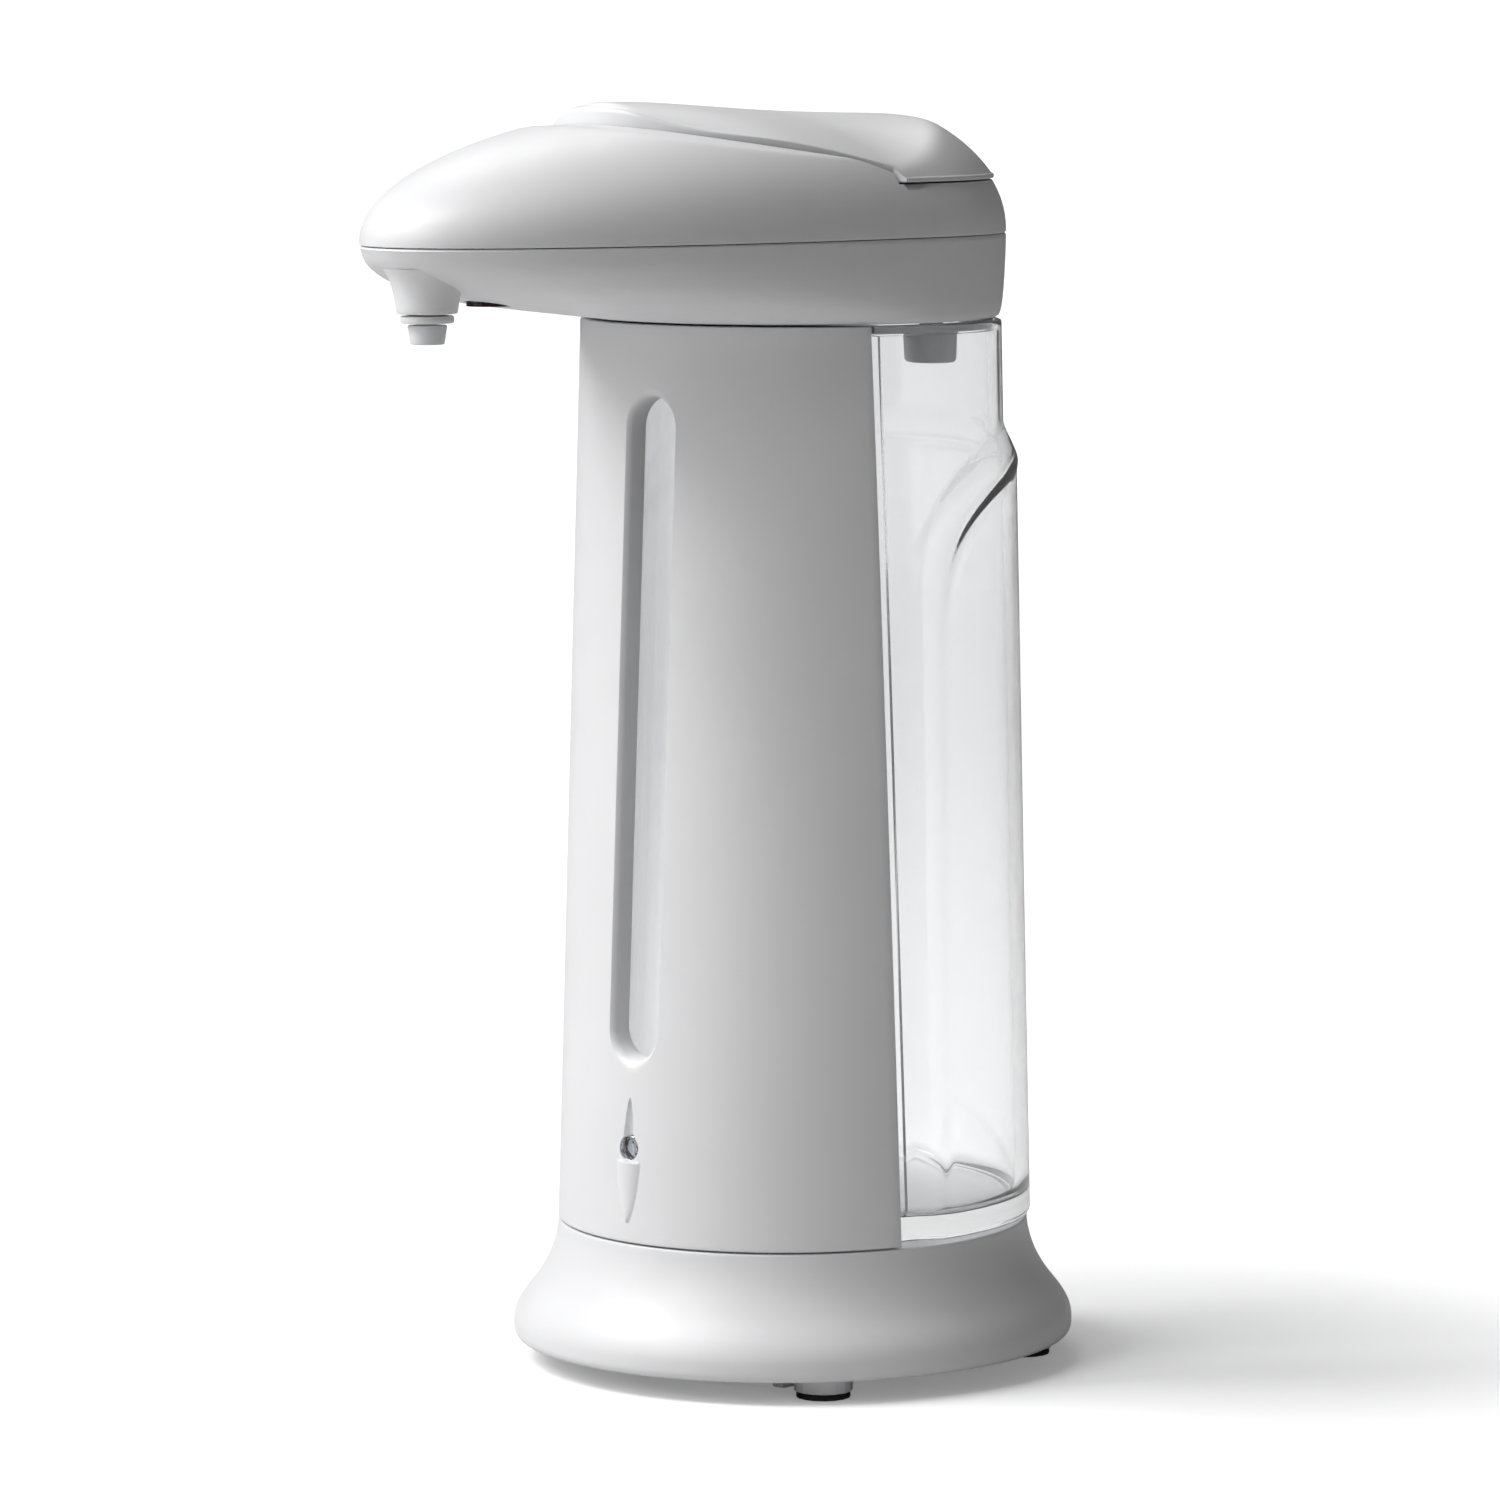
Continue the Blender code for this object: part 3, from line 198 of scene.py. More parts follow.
# Camera, as the product is seen: to its right front, a little above
CAMERA_AZIMUTH = 43.09
CAMERA_DISTANCE = 1099.34
CAMERA_HEIGHT = 218.04
CAMERA_PITCH = 6.29
CAMERA_YAW = 0.35
CAMERA_ROLL = -0.2
SENSOR_WIDTH = 36.0
LENS = 167.1

# Surroundings as the camera sees them (less through clear plastic), and as they light the object.
# FLOOR_GLOW is (metres from the middle, glow)
SEEN_THROUGH = 0.85
FLOOR_BOUNCE = 0.62
# Painted light: the floor glows only for what the camera sees, also through clear plastic. The glow is weak
# close to the object, so the cast shadow stays there. Farther out it is stronger, lightening the shadow and
# whitening the floor.
FLOOR_GLOW = ((0.08, 0.22), (0.2, 0.6), (0.8, 0.6), (2.2, 1.1))
WORLD_LIGHT = 0.12
WORLD_SEEN = 1.05

# Square lights aimed at one point: (name, place in metres, watts)
LIGHT_SIZE = 0.6
LIGHT_TARGET = (0, 0, 0.1)
LIGHTS = (
    ("key", (-0.776, -0.723, 1.161), 13.1),
    ("top", (-0.257, -0.705, 1.399), 7.5),
    ("front", (-0.226, -1.279, 0.85), 5.1),
    ("side", (-1.043, -0.973, 0.564), 1.6),
    ("back", (-0.813, 0.682, 1.161), 2.5),
)

# ---------------------------------------------------------------- mesh helpers


def between(low, high, share):
    return low + (high - low) * share


def smoothstep(low, high, value):
    share = np.clip((value - low) / (high - low), 0.0, 1.0)
    return share * share * (3 - 2 * share)


def soft_min(a, b, blend):
    """The lower of two values, rounded over where they meet."""
    mix = np.clip(0.5 + 0.5 * (b - a) / blend, 0.0, 1.0)
    return b + (a - b) * mix - blend * mix * (1 - mix)


def smooth_profile(points, steps):
    """More points along a curve that passes through these, each a row of numbers."""
    points = np.array(points, float)
    padded = np.vstack([2 * points[0] - points[1], points, 2 * points[-1] - points[-2]])
    rows = []
    for i in range(len(points) - 1):
        a, b, c, d = padded[i : i + 4]
        for t in np.arange(steps) / steps:
            square = (2 * a - 5 * b + 4 * c - d) * t**2
            cube = (3 * b - a - 3 * c + d) * t**3
            rows.append(0.5 * (2 * b + (c - a) * t + square + cube))
    rows.append(points[-1])
    return np.array(rows)


def mesh_object(name, vertices, faces, sharp_angle=35):
    """An object from points in millimetres in the part's layout."""
    vertices = np.array(vertices, float) + (0, AXIS_Y, 0)
    mesh = bpy.data.meshes.new(name)
    mesh.from_pydata((vertices * MM).tolist(), [], faces)
    bm = bmesh.new()
    bm.from_mesh(mesh)
    bmesh.ops.recalc_face_normals(bm, faces=bm.faces)
    bm.to_mesh(mesh)
    bm.free()
    mesh.shade_smooth()
    mesh.set_sharp_from_angle(angle=math.radians(sharp_angle))
    obj = bpy.data.objects.new(name, mesh)
    bpy.context.scene.collection.objects.link(obj)
    return obj


def loft(name, rings, loop=False, sharp_angle=35):
    """A closed body through rings of equally many points. With loop, the last ring joins the first."""
    rings = [np.array(ring, float) for ring in rings]
    count = len(rings[0])
    vertices = [point for ring in rings for point in ring]
    faces = []
    total = len(rings)
    for r in range(total if loop else total - 1):
        low = r * count
        high = (r + 1) % total * count
        for i in range(count):
            j = (i + 1) % count
            faces.append((low + i, low + j, high + j, high + i))
    if not loop:
        for first, ring in ((0, rings[0]), ((total - 1) * count, rings[-1])):
            middle = len(vertices)
            vertices.append(ring.mean(axis=0))
            faces += [(first + i, first + (i + 1) % count, middle) for i in range(count)]
    return mesh_object(name, vertices, faces, sharp_angle)


def oval(size, angle, z):
    """Points at these angles of an egg, whose front and rear reach differently far."""
    half_width, front, rear = size
    sine = np.sin(angle)
    depth = np.where(sine > 0, rear, front)
    return np.column_stack([half_width * np.cos(angle), depth * sine, np.full(len(angle), z)])


def egg(size, z, steps=192):
    return oval(size, 2 * math.pi * np.arange(steps) / steps, z)


def grown(size, outset):
    return tuple(value + outset for value in size)


def disc_rings(centre, profile, steps=64):
    """Rings round a vertical axis for rows of (radius, height)."""
    angle = 2 * math.pi * np.arange(steps) / steps
    rings = []
    for radius, z in profile:
        x = centre[0] + radius * np.cos(angle)
        y = centre[1] + radius * np.sin(angle)
        rings.append(np.column_stack([x, y, np.full(steps, z)]))
    return rings


def turned(name, centre, profile, steps=64, loop=False):
    return loft(name, disc_rings(centre, profile, steps), loop)


def cylinder(name, centre, radius, z, steps=64):
    return turned(name, centre, [(radius, z[0]), (radius, z[1])], steps)


def rod(name, radius, ends, axis, centre, steps=48):
    """A cylinder along X or Y. centre is its place on the other two axes."""
    angle = 2 * math.pi * np.arange(steps) / steps
    first = centre[0] + radius * np.cos(angle)
    height = centre[1] + radius * np.sin(angle)
    rings = []
    for end in ends:
        along = np.full(steps, end)
        rings.append(np.column_stack([along, first, height] if axis == "X" else [first, along, height]))
    return loft(name, rings)


def block(name, x, y, z):
    corners = [(x[0], y[0]), (x[1], y[0]), (x[1], y[1]), (x[0], y[1])]
    return loft(name, [[(*corner, height) for corner in corners] for height in z])


def combined(obj, operation, others, sharp_angle=35):
    """Applies a Boolean with each of the other objects, which are then removed."""
    for other in others:
        modifier = obj.modifiers.new(other.name, "BOOLEAN")
        modifier.operation = operation
        modifier.solver = "MANIFOLD"
        modifier.object = other
    graph = bpy.context.evaluated_depsgraph_get()
    mesh = bpy.data.meshes.new_from_object(obj.evaluated_get(graph))
    obj.modifiers.clear()
    obj.data = mesh
    for other in others:
        bpy.data.objects.remove(other)
    mesh.shade_smooth()
    mesh.set_sharp_from_angle(angle=math.radians(sharp_angle))
    return obj


def cut(obj, *others):
    return combined(obj, "DIFFERENCE", others)


def join(obj, *others):
    return combined(obj, "UNION", others)


def piece(obj, material, slot, body, *nodes):
    """Makes obj a visible piece that stands for CAD nodes and moves with their body."""
    obj.data.materials.clear()
    obj.data.materials.append(material)
    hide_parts(*nodes)
    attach(obj, body)


# ---------------------------------------------------------------- materials


def new_material(name):
    material = bpy.data.materials.new(name)
    material.use_nodes = True
    tree = material.node_tree
    return material, tree, tree.nodes["Principled BSDF"]


def noise(tree, scale, detail=4.0):
    coordinates = tree.nodes.new("ShaderNodeTexCoord")
    texture = tree.nodes.new("ShaderNodeTexNoise")
    texture.inputs["Scale"].default_value = scale
    texture.inputs["Detail"].default_value = detail
    tree.links.new(coordinates.outputs["Object"], texture.inputs["Vector"])
    return texture


def grey(level):
    return (level, level, level, 1)


def ramp(tree, source, low, high):
    """Spreads a 0 to 1 source between two colours or greys."""
    node = tree.nodes.new("ShaderNodeValToRGB")
    for element, position, colour in zip(node.color_ramp.elements, (0.3, 0.7), (low, high)):
        element.position = position
        element.color = (*colour, 1) if isinstance(colour, tuple) else grey(colour)
    tree.links.new(source, node.inputs["Fac"])
    return node.outputs["Color"]


def bump(tree, source, distance, strength=1.0, below=None):
    node = tree.nodes.new("ShaderNodeBump")
    node.inputs["Distance"].default_value = distance
    node.inputs["Strength"].default_value = strength
    tree.links.new(source, node.inputs["Height"])
    if below is not None:
        tree.links.new(below, node.inputs["Normal"])
    return node.outputs["Normal"]


def vary(tree, texture, low, high, socket):
    """Drives one of the shader's sockets by a texture, between two colours or levels."""
    tree.links.new(ramp(tree, texture.outputs["Fac"], low, high), socket)


def moulded(name, colour, roughness, grain=3200, grain_depth=0.000012, tint=0.03, coat=0.0):
    """Injection-moulded plastic: a fine grain, faint flow marks in the colour and an uneven satin."""
    material, tree, shader = new_material(name)
    flow = noise(tree, 38, 3)
    fine = noise(tree, grain, 2)
    wide = noise(tree, 210, 4)
    darker = tuple(max(0.0, c - tint * c) for c in colour)
    vary(tree, flow, darker, colour, shader.inputs["Base Color"])
    vary(tree, wide, roughness - 0.035, roughness + 0.035, shader.inputs["Roughness"])
    waves = bump(tree, flow.outputs["Fac"], 0.00004, 0.35)
    tree.links.new(bump(tree, fine.outputs["Fac"], grain_depth, 0.6, waves), shader.inputs["Normal"])
    shader.inputs["IOR"].default_value = 1.5
    shader.inputs["Coat Weight"].default_value = coat
    return material


def clear_plastic(name, colour, roughness, ior=1.49, haze_share=0.0):
    """Clear moulded plastic with faint waves and a little haze. It lets shadow rays through.

    haze_share is the part of the light that the plastic scatters like a solid.
    """
    material, tree, shader = new_material(name)
    waves = noise(tree, 26, 2)
    haze = noise(tree, 300, 3)
    paler = tuple(min(1.0, c + 0.01) for c in colour)
    vary(tree, haze, colour, paler, shader.inputs["Base Color"])
    vary(tree, haze, max(0.0, roughness - 0.01), roughness + 0.015, shader.inputs["Roughness"])
    tree.links.new(bump(tree, waves.outputs["Fac"], 0.00012, 0.25), shader.inputs["Normal"])
    shader.inputs["Transmission Weight"].default_value = 1.0 - haze_share
    shader.inputs["IOR"].default_value = ior
    through = tree.nodes.new("ShaderNodeBsdfTransparent")
    through.inputs["Color"].default_value = (*(c**0.5 for c in colour), 1)
    path = tree.nodes.new("ShaderNodeLightPath")
    mix = tree.nodes.new("ShaderNodeMixShader")
    tree.links.new(path.outputs["Is Shadow Ray"], mix.inputs["Fac"])
    tree.links.new(shader.outputs["BSDF"], mix.inputs[1])
    tree.links.new(through.outputs["BSDF"], mix.inputs[2])
    tree.links.new(mix.outputs["Shader"], tree.nodes["Material Output"].inputs["Surface"])
    return material


def metal(name, colour, roughness):
    material, tree, shader = new_material(name)
    scratch = noise(tree, 900, 5)
    darker = tuple(c * 0.85 for c in colour)
    vary(tree, scratch, darker, colour, shader.inputs["Base Color"])
    vary(tree, scratch, roughness - 0.05, roughness + 0.1, shader.inputs["Roughness"])
    tree.links.new(bump(tree, scratch.outputs["Fac"], 0.00002, 0.4), shader.inputs["Normal"])
    shader.inputs["Metallic"].default_value = 1.0
    return material


MATERIALS = {
    "white_shell": moulded("white_abs", (0.80, 0.80, 0.81), 0.40),
    "white_lid": moulded("white_abs_lid", (0.80, 0.80, 0.81), 0.38),
    "clear_tank": clear_plastic("clear_tank", (0.965, 0.968, 0.975), 0.012, haze_share=0.08),
    "window_clear": clear_plastic("clear_window", (0.86, 0.87, 0.88), 0.12),
    "light_lens": clear_plastic("status_lens", (0.97, 0.98, 0.99), 0.03),
    "silicone": moulded("silicone", (0.78, 0.79, 0.80), 0.42, tint=0.05),
    "hose_clear": clear_plastic("clear_hose", (0.90, 0.91, 0.92), 0.08, 1.42),
    "foot_rubber": moulded("foot_rubber", (0.022, 0.022, 0.022), 0.75, 1800, 0.00004, 0.3),
    "inner_white": moulded("inner_white", (0.78, 0.78, 0.78), 0.45),
    "inner_grey": moulded("inner_grey", (0.33, 0.34, 0.36), 0.5),
    "inner_black": moulded("inner_black", (0.025, 0.025, 0.025), 0.45),
    "gear_cream": moulded("gear_acetal", (0.80, 0.76, 0.66), 0.35),
    "steel": metal("plated_steel", (0.62, 0.62, 0.63), 0.28),
    "brass": metal("brass", (0.74, 0.58, 0.28), 0.3),
    "circuit_board": moulded("solder_resist", (0.02, 0.17, 0.07), 0.35, 2400, 0.00003, 0.5),
    "dark_lens": moulded("infrared_lens", (0.03, 0.012, 0.02), 0.08, 600, 0.000004, 0.3, 0.6),
    "light_chip": moulded("light_chip", (0.72, 0.77, 0.85), 0.2),
    "cell_sleeve": moulded("cell_sleeve", (0.05, 0.28, 0.14), 0.3, 2000, 0.00001, 0.2, 0.3),
    "lead_red": moulded("lead_insulation", (0.46, 0.03, 0.03), 0.4),
}


def finish_cad_nodes():
    slots = {entry["node"]: entry["material_slot"] for entry in frame["record"]["subparts"]}
    for name, node in frame["nodes"].items():
        node.data.materials.clear()
        node.data.materials.append(MATERIALS[slots[name]])


# ---------------------------------------------------------------- base


def make_base():
    profile = smooth_profile(BASE_PROFILE, 4)
    outer = [egg(grown(COLUMN_LOW, outset), z) for z, outset in profile]
    inner_top = BASE_TOP_Z - BASE_WALL
    inner = []
    for z, outset in profile[::-6]:
        if z < inner_top:
            inner.append(egg(grown(COLUMN_LOW, outset - BASE_WALL), z))
    inner = [egg(grown(COLUMN_LOW, -BASE_WALL), inner_top)] + inner + [egg(grown(COLUMN_LOW, 4.4), 3.5)]
    shell = loft("base_cover", inner + outer)
    piece(shell, MATERIALS["white_shell"], "white_shell", "housing", "base_shell")


# ---------------------------------------------------------------- column


def up_column(z):
    return (z - COLUMN_LOW_Z) / (COLUMN_TOP_Z - COLUMN_LOW_Z)


def column_size(z):
    return tuple(between(low, top, up_column(z)) for low, top in zip(COLUMN_LOW, COLUMN_TOP))


def split_y(z):
    """Where the white front shell and the clear tank meet."""
    return between(SPLIT_Y_LOW, SPLIT_Y_TOP, up_column(z))


def split_angle(z, y):
    return math.asin(-y / column_size(z)[1])


def light_relief(x, z):
    """How deep the mark round the status light is pressed in, or how far it stands out where negative."""

    def arched(half):
        return np.clip(1 - (np.abs(x) / np.maximum(half, 0.01)) ** 2, 0, 1)

    above = np.clip((z - LIGHT_Z) / MARK_GROOVE_HEIGHT, 0, 1)
    groove_half = MARK_GROOVE_HALF * np.sqrt(1 - above) * (1 - 0.25 * above)
    groove = MARK_GROOVE_DEPTH * arched(groove_half) * (z > LIGHT_Z) * (above < 1)
    tongue_top = LIGHT_Z - MARK_TONGUE_DROP
    below = np.clip((tongue_top - z) / MARK_TONGUE_LENGTH, 0, 1)
    tongue_half = MARK_TONGUE_HALF * np.sqrt(np.clip(1 - below**1.3, 0, 1))
    tongue = MARK_TONGUE_RISE * arched(tongue_half) ** 0.8
    tongue = tongue * (z < tongue_top) * (below < 1) * (1 - 0.6 * below)
    return groove - tongue


def slot_prism(name, sections):
    """A block with the slot's round ends. Each section is (outset from the outline, depth in the wall)."""
    rings = []
    turn = math.pi * np.arange(25) / 24
    for outset, depth in sections:
        half = SLOT_HALF + outset
        x = np.concatenate([half * np.cos(turn), -half * np.cos(turn)])
        top = SLOT_TOP_Z - SLOT_HALF + half * np.sin(turn)
        low = SLOT_LOW_Z + SLOT_HALF - half * np.sin(turn)
        z = np.concatenate([top, low])
        front = np.array([column_size(value)[1] for value in z])
        rings.append(np.column_stack([x, depth - front, z]))
    return loft(name, rings)


def column_heights():
    fine = np.arange(COLUMN_LOW_Z + 0.3, 46, 0.35)
    coarse = np.linspace(46.5, COLUMN_TOP_Z - 0.3, 90)
    low_end = [COLUMN_LOW_Z, COLUMN_LOW_Z + 0.12]
    top_end = [COLUMN_TOP_Z - 0.1, COLUMN_TOP_Z]
    return np.concatenate([low_end, fine, coarse, top_end])


def column_angles(start):
    """Angles from one split round the front to the other, closest together at the front."""
    share = np.linspace(-1, 1, 221)
    spread = 0.35 * share + 0.65 * share**3
    return -(math.pi / 2 + spread * (math.pi / 2 - start))[::-1]


def edge_inset(z, low, top, radius):
    """How far a surface draws in where it rounds over at its ends."""
    near = min(z - low, top - z)
    if near >= radius:
        return 0.0
    return radius - math.sqrt(radius**2 - (radius - near) ** 2)


def make_column():
    rings = []
    for z in column_heights():
        size = column_size(z)
        angles = column_angles(split_angle(z, split_y(z)))
        inset = edge_inset(z, COLUMN_LOW_Z, COLUMN_TOP_Z, END_ROUNDING)
        outer = oval(grown(size, -inset), angles, z)
        outer[:, 1] += np.where(np.abs(outer[:, 0]) < RELIEF_HALF, light_relief(outer[:, 0], z), 0)
        # The two splits' edges are rounded by one point drawn in fully and one part of the way
        turn = 0.45 / size[0] * 0.55
        corners = oval(grown(size, -inset - 0.14), np.array([angles[0] + turn, angles[-1] - turn]), z)
        ends = oval(grown(size, -SPLIT_DRAW_IN), angles[[0, -1]], z)
        outer = np.vstack([ends[:1], corners[:1], outer[1:-1], corners[1:], ends[1:]])
        inner = oval(grown(size, -SHELL_WALL), angles[::-2], z)
        rings.append(np.vstack([outer, inner]))
    shell = loft("column_cover", rings)
    frame_block = slot_prism("slot_frame", [(2.2, SHELL_WALL - 0.8), (2.2, SLOT_DEPTH)])
    join(shell, frame_block)
    rounding = [(SLOT_ROUNDING + 0.6, -0.5)]
    for depth in np.linspace(0.02, SLOT_ROUNDING, 9):
        side = SLOT_ROUNDING - depth
        rounding.append((SLOT_ROUNDING - math.sqrt(SLOT_ROUNDING**2 - side**2), depth))
    opening = slot_prism("slot_opening", rounding + [(0, SLOT_DEPTH + 2)])
    hole = rod("light_hole", LIGHT_RADIUS + 0.12, (-45, -30), "Y", (0, LIGHT_Z))
    cut(shell, opening, hole)
    piece(shell, MATERIALS["white_shell"], "white_shell", "housing", "column_shell")


def make_window():
    window = slot_prism("level_pane", [(1.7, SLOT_DEPTH + GAP), (1.7, SLOT_DEPTH + GAP + 1.8)])
    piece(window, MATERIALS["window_clear"], "window_clear", "housing", "level_window")


def make_status_lens():
    """A small domed lens cut with facets, set a little back in its hole."""
    front = -column_size(LIGHT_Z)[1]
    sides = 9
    rings = []
    for share, turn in ((1.0, 0), (0.96, 0), (0.8, 0.5), (0.55, 0), (0.3, 0.5)):
        depth = front + 0.15 - 0.55 * math.sqrt(1 - share**2)
        angle = 2 * math.pi * (np.arange(sides) + turn) / sides
        radius = LIGHT_RADIUS * share
        x = radius * np.cos(angle)
        z = LIGHT_Z + radius * np.sin(angle)
        rings.append(np.column_stack([x, np.full(sides, depth), z]))
    back = rings[0].copy()
    back[:, 1] = front + 2.1
    lens = loft("light_facets", [back] + rings, sharp_angle=8)
    piece(lens, MATERIALS["light_lens"], "light_lens", "housing", "status_lens")


# ---------------------------------------------------------------- tank


def arch_outline():
    """The edge of the raised rear panel, as (distance round the wall from its rear, height), in order."""
    turn = np.linspace(-1, 1, 241)
    share = np.sign(turn) * np.sin(np.abs(turn) * math.pi / 2)
    height = ARCH_TOP_Z - ARCH_RISE + ARCH_RISE * (1 - np.abs(share) ** 3) ** 0.4
    along = share * math.radians(ARCH_HALF_ANGLE) * WALL_RADIUS
    legs = np.linspace(0, ARCH_TOP_Z - ARCH_RISE, 60)
    left = np.column_stack([np.full(len(legs), along[0]), legs])
    right = np.column_stack([np.full(len(legs), along[-1]), legs[::-1]])
    return np.vstack([left, np.column_stack([along, height]), right])


ARCH_OUTLINE = arch_outline()


def arch_distance(angle, z):
    """Distance outside the edge of the raised rear panel, or inside it where negative."""
    along = (angle - math.pi / 2) * WALL_RADIUS
    start, end = ARCH_OUTLINE[:-1], ARCH_OUTLINE[1:]
    step = end - start
    to_point = np.column_stack([along, np.full(len(along), z)])[:, None] - start
    length_squared = np.maximum((step * step).sum(-1), 1e-12)
    share = np.clip((to_point * step).sum(-1) / length_squared, 0, 1)
    distance = np.linalg.norm(to_point - share[..., None] * step, axis=-1).min(1)
    half = math.radians(ARCH_HALF_ANGLE) * WALL_RADIUS
    top = np.interp(along, ARCH_OUTLINE[:, 0], ARCH_OUTLINE[:, 1])
    inside = (np.abs(along) < half) & (z < top)
    return np.where(inside, -distance, distance)


def recess_at(angle, z):
    """How far the tank's wall lies inside the column's oval, or outside it where negative."""
    distance = arch_distance(angle, z)
    leg = smoothstep(ARCH_TOP_Z - ARCH_LEG_FADE[0], ARCH_TOP_Z - ARCH_LEG_FADE[1], z)
    width = between(ARCH_SLOPE_TOP, ARCH_SLOPE_LEG, leg)
    recess = TANK_RECESS * smoothstep(-width, width, distance)
    bead = ARCH_BEAD * np.exp(-((distance + width) ** 2) / 1.2) * (1 - leg)
    from_rear = np.abs(np.degrees(angle) - 90)
    proud = between(*TANK_PROUD, up_column(z)) * (1 - smoothstep(*TANK_PROUD_ANGLES, from_rear))
    return recess - bead - proud


def tank_ring(z, wall, step_shift=0.0, rounding=0.0):
    """A ring of the tank: the wall in view, then the part of it that lies inside the white front shell."""
    start = split_angle(z, split_y(z) + GAP) - step_shift
    angle = np.linspace(-start, math.pi + start, 241)
    inset = recess_at(angle, z) + wall + rounding
    half_width, front, rear = column_size(z)
    sine = np.sin(angle)
    depth = np.where(sine > 0, rear, front) - inset
    x = (half_width - inset) * np.cos(angle)
    exposed = np.column_stack([x, depth * sine, np.full(len(angle), z)])
    share = np.linspace(0, 1, 61)
    hidden = between(math.pi + start, 2 * math.pi - start, share)
    inset = between(TANK_EDGE_INSET, TANK_FRONT_INSET, np.sin(math.pi * share)) + wall + rounding
    x = (half_width - inset) * np.cos(hidden)
    y = (front - inset) * np.sin(hidden)
    return np.vstack([exposed, np.column_stack([x, y, np.full(len(share), z)])])


def make_tank():
    outer = []
    for turn in np.linspace(0, 1.4, 5):
        z = TANK_LOW_Z + 0.8 - 0.8 * math.cos(turn)
        outer.append(tank_ring(z, 0, rounding=0.8 - 0.8 * math.sin(turn)))
    # Rings lie closest together where the arch turns
    below = np.linspace(TANK_LOW_Z + 1.0, 117, 36)
    arch = np.linspace(117.5, 150.5, 80)
    above = np.linspace(151, TANK_TOP_Z - 0.4, 24)
    heights = np.concatenate([below, arch, above])
    outer += [tank_ring(z, 0) for z in heights]
    outer += [tank_ring(TANK_TOP_Z - 0.12, 0, rounding=0.1), tank_ring(TANK_TOP_Z, 0, rounding=0.35)]
    inner = [tank_ring(z, TANK_LIP, TANK_LIP_SHIFT) for z in (TANK_TOP_Z, TANK_LEDGE_Z)]
    inside = [z for z in heights[::-1] if TANK_FLOOR_Z + 2.2 < z < TANK_LEDGE_Z - 0.3]
    inner += [tank_ring(z, TANK_WALL, TANK_WALL_SHIFT) for z in [TANK_LEDGE_Z] + inside]
    for turn in np.linspace(0, math.pi / 2, 6):
        z = TANK_FLOOR_Z + TANK_FLOOR_ROUNDING * (1 - math.sin(turn))
        rounding = TANK_FLOOR_ROUNDING * (1 - math.cos(turn))
        inner.append(tank_ring(z, TANK_WALL, TANK_WALL_SHIFT, rounding))
    tank = loft("clear_tank", outer + inner)
    piece(tank, MATERIALS["clear_tank"], "clear_tank", "housing", "tank")


def make_vent():
    profile = [(3.2, 158.2), (3.9, 158.35), (4.2, 158.8), (4.4, 163.3)]
    profile += [(4.3, 163.6), (1.9, 163.6), (1.9, 168.4)]
    vent = turned("vent_cap", VENT, profile)
    piece(vent, MATERIALS["silicone"], "silicone", "housing", "vent_valve")


# ---------------------------------------------------------------- head


def make_head_lower():
    sections = smooth_profile(KEEL[1:-1], 5)
    sections = np.vstack([KEEL[0], sections, KEEL[-1]])
    outer = [egg(row[1:], row[0]) for row in sections]
    inner = []
    for row in sections[::-5]:
        inner.append(egg(grown(row[1:], -HEAD_WALL), min(row[0] + HEAD_WALL, sections[-1][0])))
    shell = loft("head_keel", outer + inner)
    flare_radius, flare_z = 4.62, 169.35
    flare = [(4.35, 169.0), (4.5, 169.08), (flare_radius, flare_z)]
    for z in np.linspace(169.8, 175.8, 12):
        up = z - flare_z
        flare.append((flare_radius + 0.14 * up + 0.9 * (up / 6.0) ** 3, z))
    join(shell, turned("nozzle_collar", (0, NOZZLE_Y), flare))
    cut(
        shell,
        cylinder("nozzle_bore", (0, NOZZLE_Y), 2.6, (160, 178.5)),
        cylinder("filler_pass", (0, FILLER_Y), FILLER_RADIUS + GAP, (160, 172), 96),
        cylinder("vent_pass", VENT, 2.2, (160, 172)),
        cylinder("sensor_pass", (0, SENSOR_Y), SENSOR_RADIUS + GAP, (160, 178)),
        cylinder("suction_pass", (17.2, -13.0), 1.9, (160, 172)),
        cylinder("lead_pass", (-10.0, -25.2), 1.5, (160, 172)),
    )
    piece(shell, MATERIALS["white_shell"], "white_shell", "housing", "head_lower_shell")


def dome(x, y, size, low_z, rise):
    """Height of the head's rounded top over a point of the plan."""
    half_width, front, rear = size
    reach = (x / half_width) ** 2 + (y / np.where(y > 0, rear, front)) ** 2
    return low_z + rise * np.sqrt(np.maximum(0.0, 1 - reach))


def dome_clip(x):
    """Height of the head's nearly flat top, which falls away to both sides."""
    return DOME_CLIP_Z - DOME_CLIP_CURVE * x * x


def lid_surface(x, y):
    """The lid's saddle: highest over the hinge, falling to the rear and to both sides."""
    crest_y, low, rise, spread = LID_CREST
    middle = low + rise / (1 + ((y - crest_y) / spread) ** 2)
    steep = np.maximum(0.0, (LID_NOTCH_Y - y) / 27)
    curve = between(0.0088, 0.0035, smoothstep(LID_NOTCH_Y, 15, y)) + 0.008 * steep**4
    return middle - curve * x * x


def lid_front(x):
    return LID_FRONT_Y + (LID_NOTCH_Y - LID_FRONT_Y) * np.abs(x / LID_HALF_WIDTH) ** LID_FRONT_POWER


def nose_half(x, y):
    """Half the thickness of the lid's nose, which is round about the hinge so that it can turn."""
    radius = HINGE_Y - lid_front(x)
    return np.sqrt(np.maximum(NOSE_EDGE**2, radius * np.abs(radius) - (y - HINGE_Y) ** 2))


